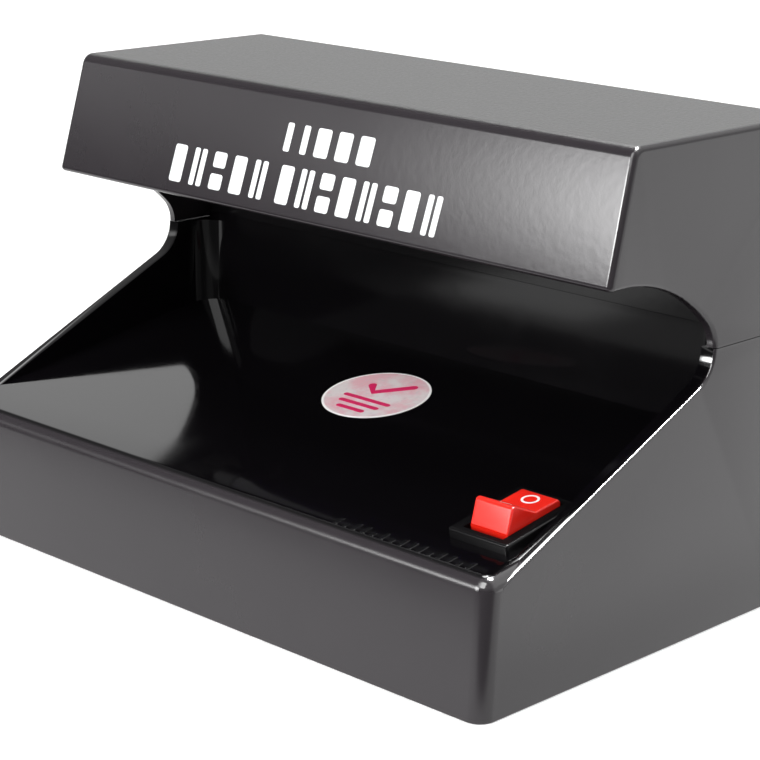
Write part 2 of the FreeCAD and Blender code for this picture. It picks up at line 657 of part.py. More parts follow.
def axial_part(x, y, radius, length, height):
    """A part lying along Y above the board, with its two bent leads."""
    z = BOARD_Z1 + height
    lead_r = 0.3
    body = cyl(radius, (x, y - length / 2, z), Y_DIR, length)
    body = fillet(body, radius * 0.3, lambda e: e.Closed)
    for end in (-1, 1):
        body = body.fuse(cyl(lead_r, (x, y + end * (length / 2 - 0.3), z), (0, end, 0), 1.9))
        body = body.fuse(cyl(lead_r, (x, y + end * (length / 2 + 1.3), BOARD_Z1), Z_DIR,
                             height + 0.3))
    return one(body, "axial")


def board_resistors():
    return group([axial_part(x, -10, radius=1.2, length=6.3, height=1.6)
                  for x in (-33.5, -29.5, -25.5, -21.5)])


def board_diodes():
    return group([axial_part(x, 11, radius=1.35, length=5.0, height=1.8)
                  for x in (-20, -16, -12, -8)])


def board_fuse():
    """The tube and its two end caps: radius, start y and length of each."""
    return group([cyl(radius, (-39, y, BOARD_Z1 + 3.0), Y_DIR, length)
                  for radius, y, length in ((2.3, -3, 9.0), (2.6, -8, 5.0), (2.6, 6, 5.0))])


def board_connector():
    connector = rounded_box(20, 34, 2, 10, BOARD_Z1, BOARD_Z1 + 10, 0.6)
    for x in (23.5, 30.5):
        connector = connector.cut(cyl(1.6, (x, 6, BOARD_Z1 + 4), Z_DIR, 8))
        connector = connector.cut(box(x - 1.6, x + 1.6, 8, 12, BOARD_Z1 + 2, BOARD_Z1 + 5))
    return one(connector, "connector")


# ---------------------------------------------------------------- rocker switch
# Switch frame: X across, Y up the slope, Z out of the deck, origin on the deck's surface.
def on_deck(shape, tilt=0.0, pivot_h=0.0):
    """Tilt a switch part about its pivot, then place it on the deck."""
    placed = shape.copy()
    if tilt:
        placed.rotate(Vector(0, 0, pivot_h), Vector(1, 0, 0), tilt)
    placed.rotate(Vector(0, 0, 0), Vector(1, 0, 0), DECK_DEG)
    placed.translate(Vector(SWITCH_X, SWITCH_Y, deck_z(SWITCH_Y)))
    return placed


def deck_point(up_slope, height):
    """A point of the switch's middle plane, in the case's frame."""
    a = math.radians(DECK_DEG)
    return (SWITCH_X, SWITCH_Y + up_slope * math.cos(a) - height * math.sin(a),
            deck_z(SWITCH_Y) + up_slope * math.sin(a) + height * math.cos(a))


def switch_body():
    bezel = rounded_box(-BEZEL_W / 2, BEZEL_W / 2, -BEZEL_L / 2, BEZEL_L / 2, 0, BEZEL_H, 0.6)
    bezel = fillet(bezel, 0.55, lambda e: abs(mid(e).z - BEZEL_H) < 0.01)
    bezel = bezel.cut(box(-4.95, 4.95, -WELL_HALF_L, WELL_HALF_L, -1, BEZEL_H + 1))
    housing = box(-HOUSING_W / 2, HOUSING_W / 2, -HOUSING_L / 2, HOUSING_L / 2, -HOUSING_D, 0.0)
    housing = housing.cut(box(-5.1, 5.1, -WELL_HALF_L, WELL_HALF_L, -HOUSING_D + 1.6, 1))
    body = bezel.fuse(housing)
    for end in (-1, 1):
        # snap wing under the deck
        root, tip, toe = (end * (HOUSING_L / 2 + out) for out in (-0.3, 0.75, 0.1))
        body = body.fuse(prism_x([(root, -2.35), (tip, -2.35), (toe, -7.0), (root, -7.0)], -3, 3))
    body = body.cut(cyl(ROCKER_AXLE_R + ROCKER_RUN_GAP, (-6.05, 0, ROCKER_PIVOT_H), X_DIR, 12.1))
    for y in TERMINAL_PLACES:
        body = body.cut(box(-2.45, 2.45, y - 0.45, y + 0.45, -HOUSING_D - 1, -HOUSING_D + 3))
    return on_deck(one(body, "switch_body"))


# rocker outline (y, z), level
ROCKER_OUTLINE = [
    (-7.0, 5.55), (0.0, 3.5), (7.0, 5.35), (7.8, 0.1), (6.4, -3.2),
    (2.6, -4.6), (-2.6, -4.6), (-6.4, -3.2), (-7.8, 0.1),
]


def switch_rocker():
    rocker = prism_x(ROCKER_OUTLINE, -ROCKER_W / 2, ROCKER_W / 2)
    rocker = fillet(rocker, 0.9, lambda e: abs(mid(e).x) < 0.01 and mid(e).z > 3.9)
    rocker = fillet(rocker, 0.45,
                    lambda e: abs(abs(mid(e).x) - ROCKER_W / 2) < 0.01 and mid(e).z > 1.0)
    rocker = rocker.fuse(cyl(ROCKER_AXLE_R, (-5.95, 0, ROCKER_PIVOT_H), X_DIR, 11.9))
    rocker = rocker.cut(cyl(1.5, (0, 0, -6), Z_DIR, 7.4))
    return on_deck(one(rocker, "rocker"), ROCKER_TILT, ROCKER_PIVOT_H)


def switch_plunger():
    radius, tip_z = 1.45, -6.2
    plunger = cyl(radius, (0, 0, tip_z), Z_DIR, 3.0)
    plunger = plunger.fuse(Part.makeSphere(radius, Vector(0, 0, tip_z)))
    return on_deck(one(plunger, "plunger"), ROCKER_TILT, ROCKER_PIVOT_H)


def switch_spring():
    turns, per_turn, pitch = 4, 10, 0.85
    helix = []
    for k in range(turns * per_turn + 1):
        a = 2 * math.pi * k / per_turn
        helix.append((math.cos(a), math.sin(a), pitch * k / per_turn))
    spring = pipe(helix, 0.16)
    spring.translate(Vector(0, 0, -2.6))
    return on_deck(spring, ROCKER_TILT, ROCKER_PIVOT_H)


def switch_seesaw_contact():
    pivot, top = CONTACT_PIVOT_H, CONTACT_PIVOT_H + 0.7
    contact = box(-2.0, 2.0, -4.5, 4.5, pivot + 0.25, top)
    for side in SIDES:
        contact = contact.fuse(box(*span(side, 1.45, 2.0), -0.9, 0.9, pivot - 0.4, top))
    contact = contact.fuse(cyl(1.2, (0, 3.1, pivot - 0.05), Z_DIR, 0.5))
    return on_deck(one(contact, "seesaw"), CONTACT_TILT, pivot)


def switch_terminals():
    # top of each blade, and the part it carries inside the housing
    tops = (-9.6, -10.2)
    inner_parts = (box(-1.2, 1.2, -0.4, 0.4, -9.7, CONTACT_PIVOT_H + 0.15),
                   box(-2.0, 2.0, 2.4, 6.0, -10.3, -9.8))
    terminals = []
    for y, top, inner in zip(TERMINAL_PLACES, tops, inner_parts):
        blade = box(-TERMINAL_HALF_W, TERMINAL_HALF_W, y - TERMINAL_HALF_T, y + TERMINAL_HALF_T,
                    -HOUSING_D - TERMINAL_DROP, top).fuse(inner)
        blade = blade.cut(cyl(0.8, (0, -2, -HOUSING_D - 4.6), Y_DIR, 12))
        terminals.append(one(blade, "terminal"))
    return on_deck(group(terminals))


# ---------------------------------------------------------------- round sticker
def deck_sticker():
    sticker = cyl(STICKER_R, (0, 0, 0), Z_DIR, STICKER_T)
    sticker.rotate(Vector(0, 0, 0), Vector(1, 0, 0), DECK_DEG)
    sticker.translate(Vector(STICKER_X, STICKER_Y, deck_z(STICKER_Y)))
    return sticker


# ---------------------------------------------------------------- mains cord, bushing, plug
def cord_bushing():
    flange_y, flange_t = CASE_REAR + 0.02, 1.56
    bushing = cyl(5.6, (CORD_X, flange_y, CORD_Z), Y_DIR, flange_t)
    bushing = round_circle(bushing, 0.6, "y", flange_y + flange_t)
    bushing = bushing.fuse(cyl(3.5, (CORD_X, 44.2, CORD_Z), Y_DIR, 4.0))
    bushing = bushing.fuse(cyl(4.4, (CORD_X, 43.2, CORD_Z), Y_DIR, 2.4))
    bushing = bushing.fuse(cone(4.3, 3.3, 13.5, (CORD_X, 49.5, CORD_Z), Y_DIR))
    for k in range(4):
        groove_y = 51.6 + 2.8 * k
        bushing = bushing.cut(ring(6.0, 3.15, (CORD_X, groove_y, CORD_Z), Y_DIR, 1.2))
    bushing = bushing.cut(cyl(CORD_R + 0.1, (CORD_X, 40, CORD_Z), Y_DIR, 30))
    return one(bushing, "bushing")


# cord stations (x, y, z): from inside the case down to the counter
CORD_START = [
    (CORD_X, 37.0, CORD_Z), (CORD_X, 66.5, CORD_Z), (CORD_X + 0.6, 71.5, 12.6),
    (CORD_X + 3.0, 78.0, 8.2), (CORD_X + 8.0, 86.0, 4.1), (CORD_X + 14.5, 90.4, CORD_R + 0.1),
]
# from the coil up into the plug
CORD_END = [
    (-18.0, 102.6, CORD_R), (-3.5, 98.6, CORD_R + 0.2), (7.5, 91.2, 3.4), (15.5, 84.2, 5.2),
    (21.0, 80.9, 6.4), (25.0, PLUG_Y, PLUG_Z), (38.0, PLUG_Y, PLUG_Z),
]


def cord_coil():
    """Two widening turns of a flattened spiral on the counter."""
    centre_x, centre_y = -33.0, 80.0
    stretch = 22.0                     # how much longer the coil's half is in x
    start_half, growth = 11.0, 6.2     # half size in y, and its growth per turn
    turns, per_turn = 2, 14
    squareness = 0.85
    points = []
    for k in range(1, turns * per_turn + 1):
        a = 2 * math.pi * k / per_turn
        half = start_half + growth * k / per_turn
        sine, cosine = math.sin(a), math.cos(a)
        across = math.copysign(abs(sine) ** squareness, sine)
        along = math.copysign(abs(cosine) ** squareness, cosine)
        points.append((centre_x + (stretch + half) * across, centre_y + half * along, CORD_R))
    return points


def power_cord():
    return pipe(CORD_START + cord_coil() + CORD_END, CORD_R)


def plug_section(x, half_y, half_z, slope):
    """A flat hexagon across the plug; slope is how much of each end is sloped."""
    flat = half_y - slope
    corners = ((-half_y, 0), (-flat, -half_z), (flat, -half_z),
               (half_y, 0), (flat, half_z), (-flat, half_z), (-half_y, 0))
    points = [Vector(x, PLUG_Y + y, PLUG_Z + z) for y, z in corners]
    return Part.Wire(Part.makePolygon(points).Edges)


def plug_pin_ys():
    return [PLUG_Y + row * PLUG_PITCH / 2 for row in (-1, 1)]


def plug_body():
    plug = Part.makeLoft([plug_section(PLUG_FACE_X, 17.4, 6.8, 5.4),
                          plug_section(PLUG_FACE_X - 3.0, 17.6, 6.85, 5.4),
                          plug_section(48.0, 16.6, 6.6, 5.2)], True, True)
    plug = plug.fuse(Part.makeLoft([plug_section(48.0, 16.6, 6.6, 5.2),
                                    plug_section(36.5, 7.2, 5.2, 3.0)], True, True))
    # tapered sleeve with three grooves
    plug = plug.fuse(cone(4.9, 3.5, 11.5, (37.5, PLUG_Y, PLUG_Z), (-1, 0, 0)))
    for k in range(3):
        plug = plug.cut(ring(7.0, 3.3, (33.6 - 2.6 * k, PLUG_Y, PLUG_Z), X_DIR, 1.1))
    plug = plug.cut(cyl(CORD_R + 0.35, (20, PLUG_Y, PLUG_Z), X_DIR, 19.5))
    for y in plug_pin_ys():
        plug = plug.cut(cyl(PLUG_PIN_CORE_R, (PLUG_PIN_ROOT_X, y, PLUG_Z), X_DIR, 12))
    return one(plug, "plug")


def plug_pins():
    pins = []
    for y in plug_pin_ys():
        pin = cyl(PLUG_PIN_R, (PLUG_FACE_X, y, PLUG_Z), X_DIR, PLUG_PIN_LEN)
        pin = round_circle(pin, 0.9, "x", PLUG_FACE_X + PLUG_PIN_LEN)
        pin = pin.fuse(cyl(PLUG_PIN_CORE_R, (PLUG_PIN_ROOT_X, y, PLUG_Z), X_DIR, 11.5))
        pins.append(one(pin, "pin"))
    return group(pins)


# ---------------------------------------------------------------- internal leads
# stations (x, y, z) from the cord's end to the connector
CORD_LEADS = [
    [(CORD_X - 0.9, 36.6, CORD_Z), (CORD_X - 1, 32, CORD_Z + 1), (-50, 24, 17.5),
     (-38, 20.5, 20), (-10, 20.5, 21), (15, 18.5, 20), (23.5, 15, 16.5), (23.5, 11, 14.8)],
    [(CORD_X + 0.9, 36.6, CORD_Z), (CORD_X + 1, 33, CORD_Z), (-48, 27, 14.0),
     (-36, 23.6, 16), (-8, 23.6, 16.5), (18, 22, 16.5), (29, 17, 15.5), (30.5, 11, 14.8)],
]
LEAD_END_Z = BOARD_Z1 + MAINS_LEAD_R + 0.1
# per terminal: the second station's step in y, then the stations (x, y, z) to the board
SWITCH_LEADS = [
    (0.5, [(50, -24, 13), (42, -16, 15), (37.0, -9, 14.5), (31.6, -7.0, 13.2),
           (30.0, -6.4, LEAD_END_Z)]),
    (1.5, [(52, -17, 14), (43, -9, 16), (37.0, -3.6, 15), (31.6, -1.8, 13.2),
           (30.0, -1.4, LEAD_END_Z)]),
]


def cord_leads():
    return group([pipe(path, MAINS_LEAD_R) for path in CORD_LEADS])


def switch_leads():
    leads = []
    for place, (step_y, stations) in zip(TERMINAL_PLACES, SWITCH_LEADS):
        x, y, z = deck_point(place, -HOUSING_D - 5.6)
        start = [(x - TERMINAL_HALF_W - MAINS_LEAD_R - 0.1, y, z), (x - 8, y + step_y, z + 0.5)]
        leads.append(pipe(start + stations, MAINS_LEAD_R))
    return group(leads)


def lamp_leads():
    """Two leads a side, from the board up behind the divider to the lamp holder."""
    leads = []
    for side in SIDES:
        for k in range(2):
            shift = 2.2 * k
            board_x = 1.5 + side * (3.0 + shift)
            rise_x = side * (61.0 + shift)
            leads.append(pipe([
                (board_x, 15.4, BOARD_Z1 + 0.75), (board_x + side * 1.5, 21, 12.4),
                (board_x + side * 6, 26.5, 14.2), (side * (34 + shift), 33.5, 24),
                (rise_x - side * 8, 36.0, 40), (rise_x, 36.0, 58),
                (rise_x + side * 0.6, 35.5, 76), (side * (67.8 + 2.0 * k), 33.2, 89.4),
                (side * (69.2 + 2.0 * k), 28.6, 91.2), (side * (70.0 + shift), 22.0, 91.0),
                (side * (70.6 + shift), 16.3, 90.5)], LAMP_LEAD_R))
    return group(leads)


# ---------------------------------------------------------------- one STEP file per piece
BUILDERS = [
    base_shell, hood_shell, bottom_plate, rubber_feet,
    bottom_screws, hood_screws, board_screws, reflector_screws,
    lamp_bay_divider, lamp_reflector, uv_tube_glass, tube_end_caps, tube_pins,
    ballast_board, transformer_core, transformer_coil, filter_capacitor, film_capacitors,
    power_transistors, board_resistors, board_diodes, board_fuse, board_connector,
    switch_body, switch_rocker, switch_plunger, switch_spring, switch_seesaw_contact,
    switch_terminals, deck_sticker, cord_bushing, power_cord, plug_body, plug_pins,
    cord_leads, switch_leads, lamp_leads,
]


def save(name, shape):
    shape.exportStep("parts/%s.step" % name)


os.makedirs("parts", exist_ok=True)
for build in BUILDERS:
    save(build.__name__, build())
for side, side_name in zip(SIDES, ("left", "right")):
    save("lamp_holder_" + side_name, lamp_holder(side))
    save("holder_rotor_" + side_name, holder_rotor(side))
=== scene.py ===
"""A counter-top ultraviolet bill lamp: a black case whose sloping deck runs back under a hood.

It stands on z = 0 with its front towards -Y and its right side towards +X. The hood's front face
is a leaning visor; the deck carries a red rocker switch and a round sticker.
"""
import math
from functools import cached_property, reduce

import bmesh
import bpy
from mathutils import Matrix, Vector


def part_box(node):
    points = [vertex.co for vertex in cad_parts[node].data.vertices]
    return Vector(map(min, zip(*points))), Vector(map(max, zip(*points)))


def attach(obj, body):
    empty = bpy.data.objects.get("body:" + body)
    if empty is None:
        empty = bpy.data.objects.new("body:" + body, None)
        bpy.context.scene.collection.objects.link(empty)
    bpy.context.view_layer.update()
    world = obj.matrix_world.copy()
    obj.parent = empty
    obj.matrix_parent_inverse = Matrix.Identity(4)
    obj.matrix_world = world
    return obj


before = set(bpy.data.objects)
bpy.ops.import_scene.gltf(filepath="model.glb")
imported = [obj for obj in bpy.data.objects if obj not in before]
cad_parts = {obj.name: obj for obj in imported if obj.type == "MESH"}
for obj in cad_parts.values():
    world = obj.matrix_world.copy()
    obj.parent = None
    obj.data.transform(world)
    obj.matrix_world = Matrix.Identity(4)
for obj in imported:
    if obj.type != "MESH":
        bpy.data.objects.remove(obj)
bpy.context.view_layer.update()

scene = bpy.context.scene
MM = 0.001

# ---------------------------------------------------------------- driving dimensions
DECK_ANGLE = math.radians(9.59)
DECK_FRONT_Y = -48.0 * MM
DECK_FRONT_Z = 27.63 * MM
CASE_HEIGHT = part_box("hood_shell")[1].z
VISOR_TOP_Y = -8.6 * MM

# places on the deck: x and y in mm
DECK_FRONT = (0.0, -48.0)
STICKER_CENTRE = (2.6, 4.2)
ROCKER_CENTRE = (69.0, -26.65)


# ---------------------------------------------------------------- shader helper
class ShaderTree:
    """An emptied node tree. The methods add nodes; most return the new node's output socket."""

    def __init__(self, owner, coordinates="Object"):
        owner.use_nodes = True
        self.owner = owner
        self.graph = owner.node_tree
        self.graph.nodes.clear()
        self.coordinates = coordinates

    def node(self, kind, sockets=None, **settings):
        """Add a node; sockets maps an input's name or index to a value or a source socket."""
        node = self.graph.nodes.new(kind)
        for name, value in settings.items():
            setattr(node, name, value)
        for key, value in (sockets or {}).items():
            if isinstance(value, bpy.types.NodeSocket):
                self.graph.links.new(value, node.inputs[key])
            else:
                node.inputs[key].default_value = value
        return node

    @cached_property
    def place(self):
        return self.node("ShaderNodeTexCoord").outputs[self.coordinates]

    def split(self, vector):
        return tuple(self.node("ShaderNodeSeparateXYZ", {0: vector}).outputs)

    def xyz(self):
        return self.split(self.place)

    def surface_normal(self):
        return self.split(self.node("ShaderNodeTexCoord").outputs["Normal"])

    def math(self, operation, first, second=0.0, third=0.0, clamp=False):
        values = dict(enumerate((first, second, third)))
        return self.node("ShaderNodeMath", values, operation=operation, use_clamp=clamp).outputs[0]

    def plus(self, first, second):
        return self.math("ADD", first, second)

    def minus(self, first, second):
        return self.math("SUBTRACT", first, second)

    def times(self, *factors):
        return reduce(lambda first, second: self.math("MULTIPLY", first, second), factors)

    def ramp(self, value, start, end, low=0.0, high=1.0):
        """Ease from low to high as value goes from start to end."""
        sockets = dict(enumerate((value, start, end, low, high)))
        return self.node("ShaderNodeMapRange", sockets, interpolation_type="SMOOTHSTEP").outputs[0]

    def noise(self, scale, detail=2.0, rough=0.5, stretch=(1, 1, 1), offset=(0, 0, 0)):
        vector = self.place
        if stretch != (1, 1, 1) or any(offset):
            mapping = {0: vector, "Scale": stretch, "Location": offset}
            vector = self.node("ShaderNodeMapping", mapping).outputs[0]
        sockets = {"Vector": vector, "Scale": scale, "Detail": detail, "Roughness": rough}
        return self.node("ShaderNodeTexNoise", sockets).outputs[0]

    def mix_colors(self, mask, low, high):
        return self.node("ShaderNodeMix", {0: mask, 6: low, 7: high}, data_type="RGBA").outputs[2]

    def mix_values(self, mask, low, high):
        return self.node("ShaderNodeMix", {0: mask, 2: low, 3: high}, data_type="FLOAT").outputs[0]

    def bump(self, height, distance):
        sockets = {"Height": height, "Distance": distance, "Strength": 1.0}
        return self.node("ShaderNodeBump", sockets).outputs[0]

    def mix_shaders(self, mask, first, second):
        return self.node("ShaderNodeMixShader", {0: mask, 1: first, 2: second}).outputs[0]

    def end(self, shader, kind="ShaderNodeOutputMaterial"):
        self.node(kind, {0: shader})
        return self.owner

    def finish(self, color, rough, normal, metallic=0.0, specular=0.5, extra=None):
        """Close a material with a principled surface; extra holds further inputs by name."""
        sockets = {"Base Color": color, "Roughness": rough, "Metallic": metallic,
                   "Specular IOR Level": specular, "IOR": 1.5, "Normal": normal, **(extra or {})}
        return self.end(self.node("ShaderNodeBsdfPrincipled", sockets).outputs[0])


def material_tree(name):
    return ShaderTree(bpy.data.materials.new(name))


def shade(color, factor):
    return tuple(channel * factor for channel in color) + (1.0,)


def dim_in_mirrors(material):
    """Let polished plastic mirror this material only faintly."""
    mirror_share = 0.88
    nodes = material.node_tree.nodes
    links = material.node_tree.links
    output = next(node for node in nodes if node.type == "OUTPUT_MATERIAL")
    surface = output.inputs[0].links[0].from_socket
    path = nodes.new("ShaderNodeLightPath")
    mask = nodes.new("ShaderNodeMath")
    mask.operation = "MULTIPLY"
    mask.inputs[1].default_value = mirror_share
    links.new(path.outputs["Is Glossy Ray"], mask.inputs[0])
    dark = nodes.new("ShaderNodeBsdfDiffuse")
    dark.inputs[0].default_value = (0.002, 0.002, 0.002, 1)
    mix = nodes.new("ShaderNodeMixShader")
    for source, socket in zip((mask, None, dark), mix.inputs):
        links.new(source.outputs[0] if source else surface, socket)
    links.new(mix.outputs[0], output.inputs[0])


# ---------------------------------------------------------------- general materials
def moulded(name, color, rough, metallic=0.0, grain=900.0, grain_depth=0.02, blotch=90.0,
            rough_vary=0.1, specular=0.5, dirt=0.0):
    """A moulded or drawn surface: blotchy colour, uneven gloss, fine grain (depth in mm), scuffs."""
    tree = material_tree(name)
    blotches = tree.noise(scale=blotch, detail=3.0)
    tint = tree.mix_colors(blotches, shade(color, 0.88), shade(color, 1.12))
    if dirt:
        patches = tree.noise(scale=blotch * 2.2, detail=5.0, rough=0.65, offset=(3, 1, 2))
        mask = tree.times(tree.ramp(patches, start=0.52, end=0.75), dirt)
        tint = tree.mix_colors(mask, tint, shade(color, 0.45))
    scuffs = tree.noise(scale=blotch * 6, detail=4.0, rough=0.7, stretch=(1, 6, 1), offset=(7, 2, 5))
    gloss = tree.mix_values(scuffs, low=rough - rough_vary, high=rough + rough_vary)
    normal = tree.bump(tree.noise(scale=grain, detail=3.0, rough=0.6), grain_depth * MM)
    return tree.finish(tint, gloss, normal, metallic, specular)


def banded(name, ground, bands, axis, rough=0.35):
    """A lacquered or taped part striped across one axis; bands hold centre, half width, colour."""
    soft_edge = 0.06
    tree = material_tree(name)
    position = tree.xyz()[axis]
    tint = tree.mix_colors(tree.noise(scale=300.0), shade(ground, 0.9), shade(ground, 1.1))
    for centre, half, color in bands:
        distance = tree.math("ABSOLUTE", tree.minus(position, centre * MM))
        mask = tree.ramp(distance, start=(half + soft_edge) * MM, end=(half - soft_edge) * MM)
        tint = tree.mix_colors(mask, tint, shade(color, 1.0))
    gloss = tree.mix_values(tree.noise(scale=500.0), low=rough - 0.06, high=rough + 0.06)
    return tree.finish(tint, gloss, tree.bump(tree.noise(scale=1200.0), distance=0.015 * MM))


def ink(name, color, rough=0.4):
    """Printed ink with thin, darker patches."""
    tree = material_tree(name)
    thin = tree.ramp(tree.noise(scale=1300.0, detail=4.0, rough=0.7), start=0.60, end=0.85)
    clouds = tree.noise(scale=240.0, detail=3.0)
    tint = tree.mix_colors(clouds, shade(color, 0.95), shade(color, 1.03))
    tint = tree.mix_colors(tree.times(thin, 0.18), tint, shade(color, 0.55))
    gloss = tree.mix_values(tree.noise(scale=600.0), low=rough - 0.08, high=rough + 0.08)
    normal = tree.bump(tree.noise(scale=1100.0, detail=3.0), distance=0.004 * MM)
    return tree.finish(tint, gloss, normal)


# ---------------------------------------------------------------- case plastic
def base_polish(tree, side, y, z):
    """Between the cheeks, at or above the deck's plane, in front of the bay wall."""
    deck_run = tree.plus(y, -DECK_FRONT_Y)
    deck_height = tree.math("MULTIPLY_ADD", deck_run, math.tan(DECK_ANGLE), DECK_FRONT_Z)
    above_deck = tree.minus(z, deck_height)
    # the flanks lean: half width at z = 0, and how much it grows with height
    flank_x, flank_lean = 0.08055, 0.0117
    inboard = tree.minus(tree.math("MULTIPLY_ADD", z, flank_lean, flank_x), side)
    return tree.times(tree.ramp(inboard, start=0.00055, end=0.00070),
                      tree.ramp(above_deck, start=-0.00045, end=-0.00010),
                      tree.ramp(z, start=0.0617, end=0.0615),
                      tree.ramp(y, start=0.0455, end=0.0450))


def hood_polish(tree, side, y, z):
    """Behind the visor, between the hood's sides and below its roof."""
    visor_lean = 0.2670
    below_top = tree.minus(z, CASE_HEIGHT)
    visor_y = tree.math("MULTIPLY_ADD", below_top, visor_lean, VISOR_TOP_Y)
    return tree.times(tree.ramp(tree.minus(y, visor_y), start=0.0012, end=0.0016),
                      tree.ramp(side, start=0.0782, end=0.0780),
                      tree.ramp(z, start=0.1006, end=0.1004),
                      tree.ramp(y, start=0.0462, end=0.0460))


def case_material(name, is_base):
    """Black styrene: satin outside, polished in the bill bay, spark-grained on the hood's roof."""
    tree = material_tree(name)
    x, y, z = tree.xyz()
    _, normal_y, normal_z = tree.surface_normal()
    side = tree.math("ABSOLUTE", x)
    polished = (base_polish if is_base else hood_polish)(tree, side, y, z)

    def satin(low, high):
        cloud = tree.noise(scale=60.0, detail=4.0, rough=0.6, offset=(1, 8, 2))
        return tree.mix_values(cloud, low, high)

    # outer faces, hazed by dust and handling
    blotches = tree.noise(scale=26.0, detail=3.0, rough=0.55)
    fine = tree.noise(scale=340.0, detail=3.0, rough=0.6, offset=(2, 5, 1))
    tint = tree.mix_colors(blotches, (0.0185, 0.0155, 0.0182, 1), (0.0240, 0.0205, 0.0238, 1))
    haze = tree.noise(scale=11.0, detail=5.0, rough=0.62, offset=(9, 3, 4))
    haze = tree.times(tree.ramp(haze, start=0.45, end=0.80), 0.30)
    tint = tree.mix_colors(haze, tint, (0.040, 0.037, 0.040, 1))
    outer_rough = satin(low=0.19, high=0.30)
    if is_base:
        # the cheeks' outer rounding is rubbed bright
        rubbed_edge = tree.times(tree.ramp(normal_z, start=0.06, end=0.30),
                                 tree.ramp(side, start=0.0780, end=0.0786))
        outer_rough = tree.mix_values(rubbed_edge, outer_rough, high=0.13)
    else:
        # the visor's face is glossier than the flanks
        visor = tree.ramp(normal_y, start=-0.6, end=-0.9)
        outer_rough = tree.mix_values(visor, outer_rough, satin(low=0.12, high=0.19))

    # the roof's moulded spark texture, which the base lacks, and a lighter tint on the up-facing roof
    # that is painted top light
    roof = tree.ramp(normal_z, start=0.80, end=0.97)
    if is_base:
        roof = tree.times(roof, 0.0)
    grain = tree.noise(scale=1500.0, detail=2.0, rough=0.7)
    cells = tree.node("ShaderNodeTexVoronoi", {"Vector": tree.place, "Scale": 1150.0})
    spark = tree.plus(tree.times(grain, 0.7), tree.times(cells.outputs["Distance"], 0.6))
    outer_rough = tree.mix_values(roof, outer_rough, tree.mix_values(grain, low=0.34, high=0.50))
    # painted top light: the roof is tinted lighter than the flanks because light falls on it from
    # above
    roof_tint_with_painted_top_light = tree.mix_colors(fine, (0.026, 0.026, 0.026, 1), (0.042, 0.042, 0.041, 1))
    tint = tree.mix_colors(roof, tint, roof_tint_with_painted_top_light)

    # polished zone, with hairlines and smudges
    hair = tree.noise(scale=420.0, detail=5.0, rough=0.75, stretch=(1.0, 9.0, 1.0),
                      offset=(4, 4, 1))
    inner_rough = tree.mix_values(tree.ramp(hair, start=0.45, end=0.72), low=0.055, high=0.10)
    smudge = tree.noise(scale=38.0, detail=4.0, rough=0.6, offset=(6, 1, 9))
    smudge = tree.ramp(smudge, start=0.50, end=0.74)
    inner_rough = tree.plus(inner_rough, tree.times(smudge, 0.05))
    tint = tree.mix_colors(polished, tint, (0.0022, 0.0019, 0.0024, 1))
    specular, coat = 0.5, None
    if is_base:
        # the bay's rear wall is a little duller
        wall = tree.times(tree.ramp(normal_y, start=-0.90, end=-0.97),
                          tree.ramp(y, start=0.0200, end=0.0240))
        wall_rough = tree.mix_values(smudge, low=0.09, high=0.14)
        inner_rough = tree.mix_values(wall, inner_rough, wall_rough)
        specular = tree.mix_values(wall, low=0.5, high=0.45)
        coat = {"Coat Weight": rubbed_edge, "Coat Roughness": 0.10}
    rough = tree.mix_values(polished, outer_rough, inner_rough)

    # relief in mm: orange peel everywhere, spark grain on the roof
    peel = tree.noise(scale=520.0, detail=2.0, rough=0.5, offset=(3, 3, 3))
    relief = tree.plus(tree.times(peel, tree.mix_values(polished, low=0.012, high=0.0012)),
                       tree.times(spark, tree.times(roof, 0.085)))
    normal = tree.bump(relief, distance=1.0 * MM)
    return tree.finish(tint, rough, normal, specular=specular, extra=coat)


# ---------------------------------------------------------------- single-part materials
def rocker_material():
    """Translucent red nylon that glows a little from light scattered inside it."""
    tree = material_tree("rocker_red")
    blotches = tree.noise(scale=150.0, detail=3.0)
    tint = tree.mix_colors(blotches, (0.72, 0.012, 0.006, 1), (0.86, 0.022, 0.010, 1))
    scuffs = tree.noise(scale=700.0, detail=4.0, rough=0.7, stretch=(1, 5, 1))
    gloss = tree.mix_values(scuffs, low=0.20, high=0.30)
    normal = tree.bump(tree.noise(scale=900.0, detail=2.0), distance=0.006 * MM)
    scatter = {"Subsurface Weight": 0.25, "Subsurface Radius": (1.0, 0.12, 0.06),
               "Subsurface Scale": 1.2 * MM}
    return tree.finish(tint, gloss, normal, extra=scatter)


def tube_glass_material():
    tree = material_tree("filter_glass")
    blotches = tree.noise(scale=60.0, detail=3.0)
    tint = tree.mix_colors(blotches, (0.010, 0.004, 0.030, 1), (0.016, 0.007, 0.045, 1))
    gloss = tree.mix_values(tree.noise(scale=300.0, detail=4.0), low=0.03, high=0.09)
    normal = tree.bump(tree.noise(scale=240.0, detail=2.0), distance=0.01 * MM)
    coat = {"Coat Weight": 0.6, "Coat Roughness": 0.05}
    return tree.finish(tint, gloss, normal, specular=0.6, extra=coat)


